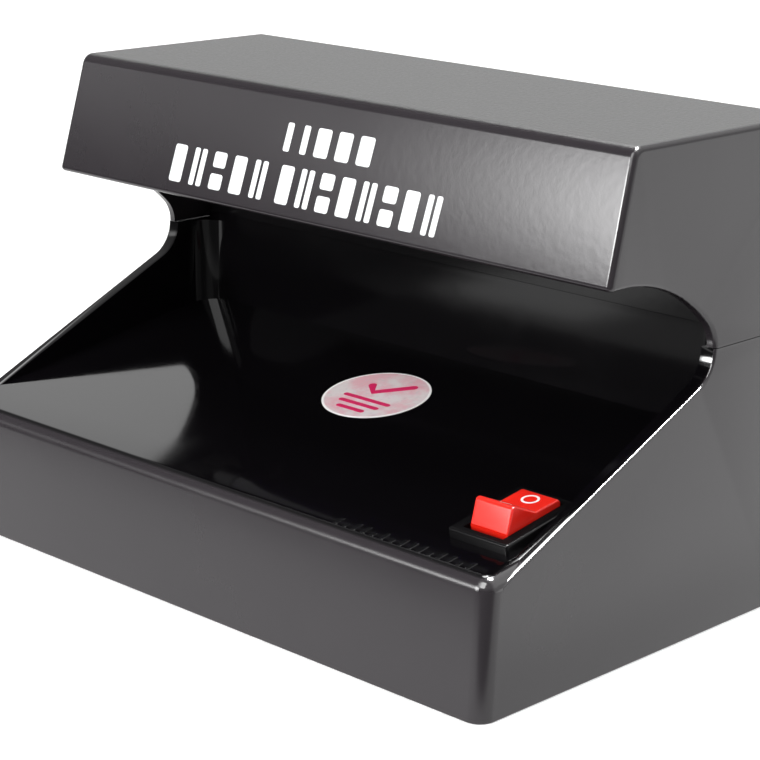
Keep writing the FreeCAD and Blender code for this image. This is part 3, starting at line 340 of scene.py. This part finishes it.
def board_material():
    """Brown phenolic board with wavy green bands on its underside."""
    tree = material_tree("phenolic_board")
    fibres = tree.noise(scale=320.0, detail=3.0)
    top = tree.mix_colors(fibres, (0.42, 0.26, 0.10, 1), (0.52, 0.34, 0.15, 1))
    wave = tree.node("ShaderNodeTexWave", {"Vector": tree.place, "Scale": 70.0, "Distortion": 3.0},
                     wave_type="BANDS", bands_direction="DIAGONAL")
    bands = tree.ramp(wave.outputs[1], start=0.45, end=0.55)
    under = tree.mix_colors(bands, (0.05, 0.22, 0.09, 1), (0.10, 0.34, 0.14, 1))
    normal_z = tree.surface_normal()[2]
    tint = tree.mix_colors(tree.ramp(normal_z, start=-0.5, end=-0.2), under, top)
    gloss = tree.mix_values(tree.noise(scale=90.0), low=0.35, high=0.5)
    return tree.finish(tint, gloss, tree.bump(tree.noise(scale=1500.0), distance=0.01 * MM))


def sticker_material():
    """Mottled pink film with a pale rim."""
    tree = material_tree("sticker_film")
    pink = tree.ramp(tree.noise(scale=110.0, detail=4.0, rough=0.6), start=0.40, end=0.62)
    tint = tree.mix_colors(pink, (0.72, 0.66, 0.66, 1), (0.74, 0.42, 0.47, 1))
    specks = tree.ramp(tree.noise(scale=900.0, detail=2.0), start=0.5, end=0.9)
    tint = tree.mix_colors(specks, tint, (0.60, 0.52, 0.54, 1))
    x, y, _ = tree.xyz()
    centre_x, centre_y = STICKER_CENTRE
    up_slope = tree.times(tree.minus(y, centre_y * MM), 1 / math.cos(DECK_ANGLE))
    squared = tree.plus(tree.math("POWER", tree.minus(x, centre_x * MM), 2.0),
                        tree.math("POWER", up_slope, 2.0))
    rim = tree.ramp(tree.math("SQRT", squared), start=11.35 * MM, end=11.6 * MM)
    tint = tree.mix_colors(rim, tint, (0.92, 0.90, 0.89, 1))
    gloss = tree.mix_values(tree.noise(scale=200.0), low=0.28, high=0.42)
    normal = tree.bump(tree.noise(scale=260.0, detail=3.0), distance=0.02 * MM)
    return tree.finish(tint, gloss, normal)


# ---------------------------------------------------------------- materials of the CAD parts
# part: material name, colour, roughness, other settings of moulded()
SURFACES = {
    "lamp_bay_divider": ("divider_black", (0.0026, 0.0023, 0.0028), 0.12,
                         dict(grain=500, grain_depth=0.004, rough_vary=0.03, specular=0.45)),
    "bottom_plate": ("plate_black", (0.02, 0.02, 0.021), 0.55,
                     dict(grain=1400, grain_depth=0.06, dirt=0.4)),
    "rubber_feet": ("foot_rubber", (0.014, 0.014, 0.014), 0.82,
                    dict(grain=1800, grain_depth=0.05, dirt=0.6)),
    "lamp_reflector": ("rolled_aluminium", (0.80, 0.81, 0.82), 0.24,
                       dict(metallic=1.0, grain=700, grain_depth=0.008)),
    "tube_end_caps": ("pressed_aluminium", (0.72, 0.72, 0.73), 0.32,
                      dict(metallic=1.0, grain=1500, grain_depth=0.01)),
    "tube_pins": ("pin_brass", (0.78, 0.60, 0.30), 0.28,
                  dict(metallic=1.0, grain=2600, grain_depth=0.006)),
    "plug_pins": ("pin_nickel", (0.74, 0.73, 0.70), 0.20,
                  dict(metallic=1.0, grain=2600, grain_depth=0.006, dirt=0.25)),
    "transformer_core": ("ferrite", (0.045, 0.045, 0.047), 0.62,
                         dict(metallic=0.25, grain=2200, grain_depth=0.03)),
    "film_capacitors": ("dipped_epoxy", (0.33, 0.045, 0.03), 0.24,
                        dict(grain=500, grain_depth=0.03)),
    "power_transistors": ("moulded_epoxy", (0.018, 0.018, 0.019), 0.52,
                          dict(grain=2400, grain_depth=0.03)),
    "board_connector": ("green_nylon", (0.03, 0.20, 0.07), 0.42, dict(grain=1300)),
    "switch_plunger": ("acetal", (0.78, 0.78, 0.75), 0.38, dict(grain=1500, grain_depth=0.01)),
    "switch_spring": ("spring_steel", (0.56, 0.56, 0.58), 0.30,
                      dict(metallic=1.0, grain=3000, grain_depth=0.004)),
    "power_cord": ("cord_pvc", (0.016, 0.016, 0.017), 0.40,
                   dict(grain=420, grain_depth=0.05, blotch=70, dirt=0.3)),
    "cord_bushing": ("bushing_pvc", (0.014, 0.014, 0.015), 0.48,
                     dict(grain=1100, grain_depth=0.03)),
    "plug_body": ("plug_pvc", (0.018, 0.018, 0.019), 0.50,
                  dict(grain=1300, grain_depth=0.07, dirt=0.35)),
    "cord_leads": ("lead_brown", (0.20, 0.085, 0.03), 0.42, {}),
    "switch_leads": ("lead_blue", (0.03, 0.09, 0.36), 0.42, {}),
    "lamp_leads": ("lead_white", (0.74, 0.74, 0.73), 0.42, {}),
    "switch_body": ("switch_nylon", (0.0028, 0.0026, 0.0030), 0.22,
                    dict(grain_depth=0.010, rough_vary=0.06, specular=0.20)),
}
for part in ("bottom_screws", "hood_screws", "board_screws", "reflector_screws"):
    SURFACES[part] = ("zinc_" + part, (0.60, 0.60, 0.62), 0.34,
                      dict(metallic=1.0, grain=2600, grain_depth=0.01, dirt=0.3))
for end in ("left", "right"):
    SURFACES["lamp_holder_" + end] = ("holder_white_" + end, (0.74, 0.73, 0.69), 0.42,
                                      dict(grain=1500))
    SURFACES["holder_rotor_" + end] = ("rotor_white_" + end, (0.66, 0.65, 0.60), 0.46,
                                       dict(grain=1500))
for part in ("seesaw_contact", "terminals"):
    SURFACES["switch_" + part] = ("stamped_brass_" + part, (0.76, 0.58, 0.30), 0.34,
                                  dict(metallic=1.0, grain=1800, grain_depth=0.01, dirt=0.25))

# part: material name, ground colour, bands (centre mm, half width mm, colour), axis, roughness
BANDED = {
    "board_resistors": ("resistor_lacquer", (0.62, 0.47, 0.28), [
        (-11.8, 0.3, (0.35, 0.05, 0.02)), (-10.7, 0.3, (0.02, 0.02, 0.02)),
        (-9.6, 0.3, (0.4, 0.16, 0.02)), (-8.0, 0.3, (0.55, 0.38, 0.08))], 1, 0.35),
    "board_diodes": ("diode_epoxy", (0.02, 0.02, 0.021), [(12.7, 0.45, (0.6, 0.6, 0.58))], 1, 0.45),
    "transformer_coil": ("coil_tape", (0.72, 0.50, 0.05), [
        (centre, 0.05, (0.5, 0.33, 0.03)) for centre in (16.0, 20.0, 24.0)], 2, 0.28),
    "filter_capacitor": ("capacitor_sleeve", (0.02, 0.03, 0.09),
                         [(-33.4, 1.2, (0.55, 0.56, 0.6))], 0, 0.25),
    "board_fuse": ("fuse_caps", (0.55, 0.55, 0.52), [(1.5, 4.4, (0.30, 0.33, 0.32))], 1, 0.15),
}

MATERIALS = {
    "base_shell": case_material("case_base", is_base=True),
    "hood_shell": case_material("case_hood", is_base=False),
    "switch_rocker": rocker_material(),
    "uv_tube_glass": tube_glass_material(),
    "ballast_board": board_material(),
    "deck_sticker": sticker_material(),
}
for part, (name, color, rough, settings) in SURFACES.items():
    MATERIALS[part] = moulded(name, color, rough, **settings)
for part, row in BANDED.items():
    MATERIALS[part] = banded(*row)

for part in ("deck_sticker", "switch_rocker", "lamp_holder_left", "lamp_holder_right",
             "holder_rotor_left", "holder_rotor_right", "lamp_reflector", "tube_end_caps",
             "tube_pins", "lamp_leads"):
    dim_in_mirrors(MATERIALS[part])

for part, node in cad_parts.items():
    node.data.materials.clear()
    node.data.materials.append(MATERIALS[part])
    for face in node.data.polygons:
        face.use_smooth = True
    weld = node.modifiers.new("weld", "WELD")
    weld.merge_threshold = 1e-6
    split = node.modifiers.new("split", "EDGE_SPLIT")
    split.split_angle = math.radians(24)
    split.use_edge_sharp = False


# ---------------------------------------------------------------- outlines and plates, in mm
def round_corners(points, radius, steps=5):
    """The outline with each corner eased along a quadratic curve."""
    rounded = []
    for i, point in enumerate(points):
        corner = Vector(point)
        back = Vector(points[i - 1]) - corner
        ahead = Vector(points[(i + 1) % len(points)]) - corner
        back_length, ahead_length = back.length, ahead.length
        back.normalize()
        ahead.normalize()
        cut = min(radius / math.tan(back.angle(ahead) / 2), back_length * 0.48, ahead_length * 0.48)
        start, end = corner + back * cut, corner + ahead * cut
        for k in range(steps + 1):
            f = k / steps
            spot = start * (1 - f) ** 2 + corner * 2 * f * (1 - f) + end * f ** 2
            rounded.append((spot.x, spot.y))
    return rounded


def rounded_box(left, bottom, width, height, radius):
    right, top = left + width, bottom + height
    corners = [(left, bottom), (right, bottom), (right, top), (left, top)]
    return round_corners(corners, radius, steps=3)


def inset_outline(points, inset):
    """The outline moved inward by inset, mitred at its corners."""
    count = len(points)
    area = sum(points[i][0] * points[(i + 1) % count][1] - points[(i + 1) % count][0] * points[i][1]
               for i in range(count))
    turn = 1 if area > 0 else -1
    moved = []
    for i in range(count):
        before, here, after = (Vector(points[k % count]) for k in (i - 1, i, i + 1))
        arriving = (here - before).normalized()
        leaving = (after - here).normalized()
        arriving_normal = Vector((-arriving.y, arriving.x)) * turn
        mitre = arriving_normal + Vector((-leaving.y, leaving.x)) * turn
        reach = max(0.35, mitre.dot(arriving_normal))
        moved.append((points[i][0] + mitre.x * inset / reach, points[i][1] + mitre.y * inset / reach))
    return moved


def stroke(points, width):
    """The outline of a line through points, with round ends."""
    path = [Vector(point) for point in points]
    half = width / 2

    def cap(tip, direction):
        angles = [math.pi * k / 6 for k in range(1, 6)]
        return [tip + Vector((direction.x * math.sin(angle) - direction.y * math.cos(angle),
                              direction.y * math.sin(angle) + direction.x * math.cos(angle))) * half
                for angle in angles]

    left, right = [], []
    for i, point in enumerate(path):
        along = (path[min(len(path) - 1, i + 1)] - path[max(0, i - 1)]).normalized()
        sideways = Vector((-along.y, along.x)) * half
        left.append(point + sideways)
        right.append(point - sideways)
    end_cap = cap(path[-1], (path[-1] - path[-2]).normalized())
    start_cap = cap(path[0], -(path[1] - path[0]).normalized())
    return [(point.x, point.y) for point in left + end_cap + right[::-1] + start_cap]


def bridge(mesh, lower, upper):
    """Join two loops of vertices with a band of faces."""
    for i in range(len(lower)):
        j = (i + 1) % len(lower)
        mesh.faces.new((lower[i], lower[j], upper[j], upper[i]))


def slab(mesh, outline, place, bottom, top, bevel=0.0):
    """A thin closed plate; place maps (across, along, height) to space. Bevel eases its top edge."""
    rings = [(outline, bottom), (outline, top - bevel)]
    if bevel > 0:
        rings.append((inset_outline(outline, bevel), top))
    loops = [[mesh.verts.new(place(across, along, height)) for across, along in points]
             for points, height in rings]
    for lower, upper in zip(loops, loops[1:]):
        bridge(mesh, lower, upper)
    mesh.faces.new(loops[0][::-1])
    mesh.faces.new(loops[-1])


def flat_ring(mesh, centre_along, outer, inner, place, bottom, top, segments=40):
    """A flat closed ring."""
    angles = [2 * math.pi * k / segments for k in range(segments)]
    corners = ((outer, bottom), (outer, top), (inner, top), (inner, bottom))
    loops = [[mesh.verts.new(place(radius * math.cos(angle),
                                   centre_along + radius * math.sin(angle), height))
              for angle in angles] for radius, height in corners]
    for k in range(4):
        bridge(mesh, loops[k], loops[(k + 1) % 4])


def new_piece(name, mesh, material, body):
    """Turn the built mesh into an object that rides on a body of the frame."""
    bmesh.ops.remove_doubles(mesh, verts=mesh.verts, dist=1e-7)
    bmesh.ops.recalc_face_normals(mesh, faces=mesh.faces)
    data = bpy.data.meshes.new(name)
    mesh.to_mesh(data)
    mesh.free()
    piece = bpy.data.objects.new(name, data)
    scene.collection.objects.link(piece)
    data.materials.append(material)
    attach(piece, body)


# ---------------------------------------------------------------- places on the sloping faces
def on_deck(origin):
    """Places a point across, up the slope of and above the deck from an origin (x, y) on it."""
    origin_x, origin_y = origin[0] * MM, origin[1] * MM
    origin_z = DECK_FRONT_Z + math.tan(DECK_ANGLE) * (origin_y - DECK_FRONT_Y)
    cosine, sine = math.cos(DECK_ANGLE), math.sin(DECK_ANGLE)

    def place(across, up_slope, height):
        return Vector((origin_x + across * MM,
                       origin_y + up_slope * MM * cosine - height * MM * sine,
                       origin_z + up_slope * MM * sine + height * MM * cosine))
    return place


VISOR_BOTTOM = Vector((0, -15.65 * MM, 76.35 * MM))
VISOR_TOP = Vector((0, VISOR_TOP_Y, 102.75 * MM))
visor_up = (VISOR_TOP - VISOR_BOTTOM).normalized()
visor_out = Vector((0, -visor_up.z, visor_up.y))


def on_visor(across, up, height):
    sideways = Vector((across * MM, 0, 0))
    return VISOR_BOTTOM + sideways + visor_up * (up * MM) + visor_out * (height * MM)


ROCKER_TILT = math.radians(16.0)
ROCKER_PIVOT_HEIGHT = -1.3
ROCKER_VALLEY_HEIGHT = 3.5
ROCKER_HALF_LENGTH = 7.0


def on_rocker(side):
    """Places on one half of the rocker's V-shaped top: side 1 is the rear half, -1 the front."""
    rise = 2.05 if side < 0 else 1.85
    slope = math.atan2(rise, ROCKER_HALF_LENGTH)
    from_centre = on_deck(ROCKER_CENTRE)

    def place(across, outward, height):
        level_along = side * (outward * math.cos(slope) - height * math.sin(slope))
        level_height = (ROCKER_VALLEY_HEIGHT + outward * math.sin(slope)
                        + height * math.cos(slope))
        # tilt about the pivot: the front half up, the rear half down
        arm = level_height - ROCKER_PIVOT_HEIGHT
        along = level_along * math.cos(ROCKER_TILT) + arm * math.sin(ROCKER_TILT)
        lifted = -level_along * math.sin(ROCKER_TILT) + arm * math.cos(ROCKER_TILT)
        return from_centre(across, along, lifted + ROCKER_PIVOT_HEIGHT)
    return place


# ---------------------------------------------------------------- marks on the visor: plain bars
BAR_LEAN = math.tan(math.radians(4.0))
LOWER_ROW, UPPER_ROW = 3.25, 14.25
LOWER_HEIGHT, UPPER_HEIGHT = 8.2, 6.1
HALF_BAR = 3.4
# the lower row's blocks; each bar is: centre across, rise, width, height, corner radius
LOWER_BLOCKS = (
    ((2.1, 0.0, 3.8, LOWER_HEIGHT, 0.7),),
    ((1.0, 0.0, 1.5, LOWER_HEIGHT, 0.5), (3.3, 0.0, 1.5, LOWER_HEIGHT, 0.5)),
    ((2.1, 0.0, 3.8, HALF_BAR, 0.7), (2.1, LOWER_HEIGHT - HALF_BAR, 3.8, HALF_BAR, 0.7)),
)
LOWER_GROUPS = ((5, 6.37), (8, 5.98))  # count and pitch
LOWER_START, GROUP_GAP = -43.6, 1.6
# the upper row's bars: centre across, width, corner radius, step to the next
UPPER_BARS = ((1.6, 1.8, 0.5, 4.9),) * 2 + ((1.9, 4.0, 0.7, 6.15),) * 3
UPPER_START = -11.0


def visor_bar(mesh, across, up, width, height, radius):
    shift = BAR_LEAN * height
    left, right = across - width / 2, across + width / 2
    corners = [(left, up), (right, up), (right + shift, up + height), (left + shift, up + height)]
    slab(mesh, round_corners(corners, radius), on_visor, bottom=-0.01, top=0.035)


def visor_print():
    mesh = bmesh.new()
    across = LOWER_START
    for count, pitch in LOWER_GROUPS:
        for k in range(count):
            for centre, rise, width, height, radius in LOWER_BLOCKS[k % 3]:
                visor_bar(mesh, across + centre + BAR_LEAN * rise, LOWER_ROW + rise,
                          width, height, radius)
            across += pitch
        across += GROUP_GAP
    across = UPPER_START
    for centre, width, radius, step in UPPER_BARS:
        visor_bar(mesh, across + centre, UPPER_ROW, width, UPPER_HEIGHT, radius)
        across += step
    white = ink("tampo_white", (0.86, 0.87, 0.88))
    new_piece("visor_print", mesh, white, "case")


# ---------------------------------------------------------------- marks on the deck
# the sticker's tick above three short bars: points of the line, line width
STICKER_STROKES = (
    ([(-4.4, 3.4), (-1.6, 0.6), (4.6, 7.0)], 1.9),
    ([(-6.2, -3.0), (6.2, -3.0)], 1.25),
    ([(-5.2, -5.6), (5.2, -5.6)], 1.25),
    ([(-3.4, -8.2), (3.4, -8.2)], 1.25),
)


def sticker_print():
    mesh = bmesh.new()
    for points, width in STICKER_STROKES:
        slab(mesh, stroke(points, width), on_deck(STICKER_CENTRE), bottom=0.10, top=0.155)
    magenta = ink("magenta_ink", (0.66, 0.014, 0.11), rough=0.45)
    dim_in_mirrors(magenta)
    new_piece("sticker_print", mesh, magenta, "case")


# the row of upright ticks at the deck's front right
TICK_LENGTHS = (2.6, 1.4, 2.6, 2.6, 1.4, 2.6, 1.4, 2.6, 2.6, 2.6, 1.4, 2.6, 2.6, 1.4, 2.6)
TICK_START, TICK_PITCH, TICK_WIDTH = 38.5, 2.45, 1.0
TICK_UP_SLOPE = 3.3


def moulded_ticks():
    mesh = bmesh.new()
    for k, length in enumerate(TICK_LENGTHS):
        left = TICK_START + TICK_PITCH * k
        outline = rounded_box(left, TICK_UP_SLOPE, TICK_WIDTH, length, radius=0.25)
        slab(mesh, outline, on_deck(DECK_FRONT), bottom=-0.02, top=0.10, bevel=0.06)
    black = moulded("ticks_black", (0.005, 0.005, 0.0055), rough=0.16, grain=1200,
                    grain_depth=0.006)
    new_piece("moulded_ticks", mesh, black, "case")


def rocker_marks():
    """A ring on the pressed rear half and a bar on the raised front half."""
    white = ink("mark_white", (0.88, 0.80, 0.78), rough=0.35)
    dim_in_mirrors(white)
    mesh = bmesh.new()
    flat_ring(mesh, centre_along=3.7, outer=1.85, inner=1.35, place=on_rocker(1),
              bottom=-0.02, top=0.03)
    new_piece("rocker_ring_mark", mesh, white, "rocker")
    mesh = bmesh.new()
    outline = rounded_box(left=-0.25, bottom=1.9, width=0.5, height=3.6, radius=0.2)
    slab(mesh, outline, on_rocker(-1), bottom=-0.02, top=0.03)
    new_piece("rocker_bar_mark", mesh, white, "rocker")


visor_print()
sticker_print()
moulded_ticks()
rocker_marks()


# ---------------------------------------------------------------- floor
def floor_material():
    """A white counter, lifted to the camera and painted separately for mirror reflections."""
    tree = material_tree("floor_white")
    x, y, _ = tree.xyz()
    rays = tree.node("ShaderNodeLightPath").outputs
    clouds = tree.noise(scale=1.5, detail=2.0)
    pale = tree.mix_colors(clouds, (0.86, 0.86, 0.865, 1), (0.88, 0.88, 0.88, 1))
    white = tree.node("ShaderNodeBsdfDiffuse", {0: pale})
    lift = tree.node("ShaderNodeEmission", {"Strength": 0.30})
    seen = tree.node("ShaderNodeAddShader", {0: white.outputs[0], 1: lift.outputs[0]})

    # mirrored brightness: bright behind and beside the case, dim in front of it
    front = tree.ramp(x, start=-0.220, end=-0.060, low=0.02, high=0.34)
    glow = tree.mix_values(tree.ramp(y, start=-0.105, end=-0.125), 1.40, front)
    right_side = tree.times(tree.ramp(x, start=0.085, end=0.120),
                            tree.ramp(y, start=-0.045, end=0.0))
    glow = tree.mix_values(right_side, glow, high=1.80)
    glow = tree.mix_values(tree.ramp(y, start=-0.150, end=-0.210), glow, high=0.08)
    left_strip = tree.times(tree.ramp(x, start=-0.170, end=-0.150),
                            tree.ramp(x, start=-0.095, end=-0.110))
    spot = tree.times(tree.ramp(y, start=-0.135, end=-0.145), left_strip)
    glow = tree.mix_values(spot, glow, high=1.2)
    front_right = tree.times(tree.ramp(x, start=0.080, end=0.095),
                             tree.ramp(y, start=-0.045, end=-0.060))
    glow = tree.mix_values(front_right, glow, high=0.22)
    mirrored = tree.node("ShaderNodeEmission", {"Strength": glow})

    bounce = tree.node("ShaderNodeBsdfDiffuse", {0: (0.34, 0.34, 0.34, 1)})
    direct = tree.mix_shaders(rays["Is Camera Ray"], bounce.outputs[0], seen.outputs[0])
    return tree.end(tree.mix_shaders(rays["Is Glossy Ray"], direct, mirrored.outputs[0]))


def build_floor():
    data = bpy.data.meshes.new("floor")
    grid = bmesh.new()
    bmesh.ops.create_grid(grid, x_segments=1, y_segments=1, size=6.0)
    grid.to_mesh(data)
    grid.free()
    floor = bpy.data.objects.new("floor", data)
    floor.location = (0, 0, -0.0002)
    scene.collection.objects.link(floor)
    data.materials.append(floor_material())


# ---------------------------------------------------------------- studio surround and lights
def build_world():
    """Bright behind, dim in front, a soft panel at front left and a dark flag at upper left."""
    world = bpy.data.worlds.new("studio")
    scene.world = world
    tree = ShaderTree(world, coordinates="Generated")
    x, y, z = tree.xyz()
    # azimuth from straight ahead of the case, positive towards its left
    azimuth = tree.math("ARCTAN2", tree.times(x, -1.0), tree.times(y, -1.0))

    def azimuth_ramp(start, end, high=1.0):
        return tree.ramp(azimuth, math.radians(start), math.radians(end), high=high)

    level = tree.ramp(y, start=-0.30, end=0.12, low=0.40, high=1.22)
    level = tree.times(level, tree.ramp(z, start=0.27, end=0.47, low=0.80, high=1.28))
    flag_direction = Vector((-0.70, -0.25, 0.65)).normalized()
    flag = tree.node("ShaderNodeVectorMath", {0: tree.place, 1: flag_direction},
                     operation="DOT_PRODUCT").outputs["Value"]
    low_front = tree.times(tree.ramp(y, start=0.0, end=-0.15), tree.ramp(z, start=0.12, end=0.08))
    level = tree.mix_values(low_front, level, high=0.10)
    flag_mask = tree.ramp(flag, start=math.cos(math.radians(42)), end=math.cos(math.radians(30)))
    level = tree.mix_values(flag_mask, level, high=0.22)

    # the panel fades with the square of the angle from its left edge, over a faint wide glow
    panel_edge, panel_fade, panel_strength = math.radians(45.0), math.radians(22), 60.0
    fade = tree.math("DIVIDE", tree.minus(panel_edge, azimuth), panel_fade, clamp=True)
    panel = tree.times(tree.math("POWER", fade, 2.0), panel_strength)
    panel = tree.times(panel, azimuth_ramp(start=8, end=20))
    wide_glow = tree.times(azimuth_ramp(start=70, end=58),
                           azimuth_ramp(start=8, end=20, high=1.15))
    panel = tree.times(tree.plus(panel, wide_glow), tree.ramp(z, start=0.10, end=0.22),
                       tree.ramp(z, start=0.34, end=0.27))
    level = tree.plus(level, panel)
    # the camera sees an even backdrop
    rays = tree.node("ShaderNodeLightPath").outputs
    level = tree.mix_values(rays["Is Camera Ray"], level, high=1.05)
    backdrop = tree.node("ShaderNodeBackground", {"Strength": level})
    tree.end(backdrop.outputs[0], "ShaderNodeOutputWorld")


def softbox(name, direction, distance, width, height, radiance, target=(0, 0, 0.05)):
    """A rectangular light at a distance from its target along a direction, facing the target."""
    outward = Vector(direction).normalized()
    light = bpy.data.lights.new(name, "AREA")
    light.shape = "RECTANGLE"
    light.size, light.size_y = width, height
    light.energy = radiance * math.pi * width * height
    box = bpy.data.objects.new(name, light)
    box.location = Vector(target) + outward * distance
    box.rotation_mode = "QUATERNION"
    box.rotation_quaternion = (-outward).to_track_quat("-Z", "Y")
    scene.collection.objects.link(box)
    box.visible_camera = False
    return box


build_floor()
build_world()
edge_box = softbox("edge_box", (0.14, 0.145, 0.98), distance=1.2, width=0.27, height=0.42,
                   radiance=220.0, target=(0.081, -0.015, 0.040))
edge_box.visible_diffuse = False
softbox("top_box", (-0.34, 0.20, 0.92), distance=1.2, width=0.34, height=0.34, radiance=14.0)
softbox("key_box", (0.15, -0.75, 0.65), distance=0.8, width=0.5, height=0.5, radiance=6.5)


# ---------------------------------------------------------------- camera
def build_camera(location, yaw, pitch, roll):
    """Angles in radians: yaw from +Y towards +X, pitch downward, roll about the view axis."""
    camera = bpy.data.cameras.new("camera")
    camera.sensor_width = 36.0
    camera.lens = 110.856316
    camera.clip_start, camera.clip_end = 0.01, 50.0
    holder = bpy.data.objects.new("camera", camera)
    scene.collection.objects.link(holder)
    forward = Vector((math.sin(yaw) * math.cos(pitch), math.cos(yaw) * math.cos(pitch),
                      -math.sin(pitch)))
    level_right = Vector((math.cos(yaw), -math.sin(yaw), 0.0))
    level_up = level_right.cross(forward)
    right = level_right * math.cos(roll) + level_up * math.sin(roll)
    up = -level_right * math.sin(roll) + level_up * math.cos(roll)
    pose = Matrix((right, up, -forward)).transposed().to_4x4()
    pose.translation = Vector(location)
    holder.matrix_world = pose
    scene.camera = holder


build_camera(location=(0.33995, -0.34634, 0.17763), yaw=-0.7648, pitch=0.2759, roll=0.0167)
scene.view_settings.view_transform = "Standard"
scene.view_settings.look = "None"
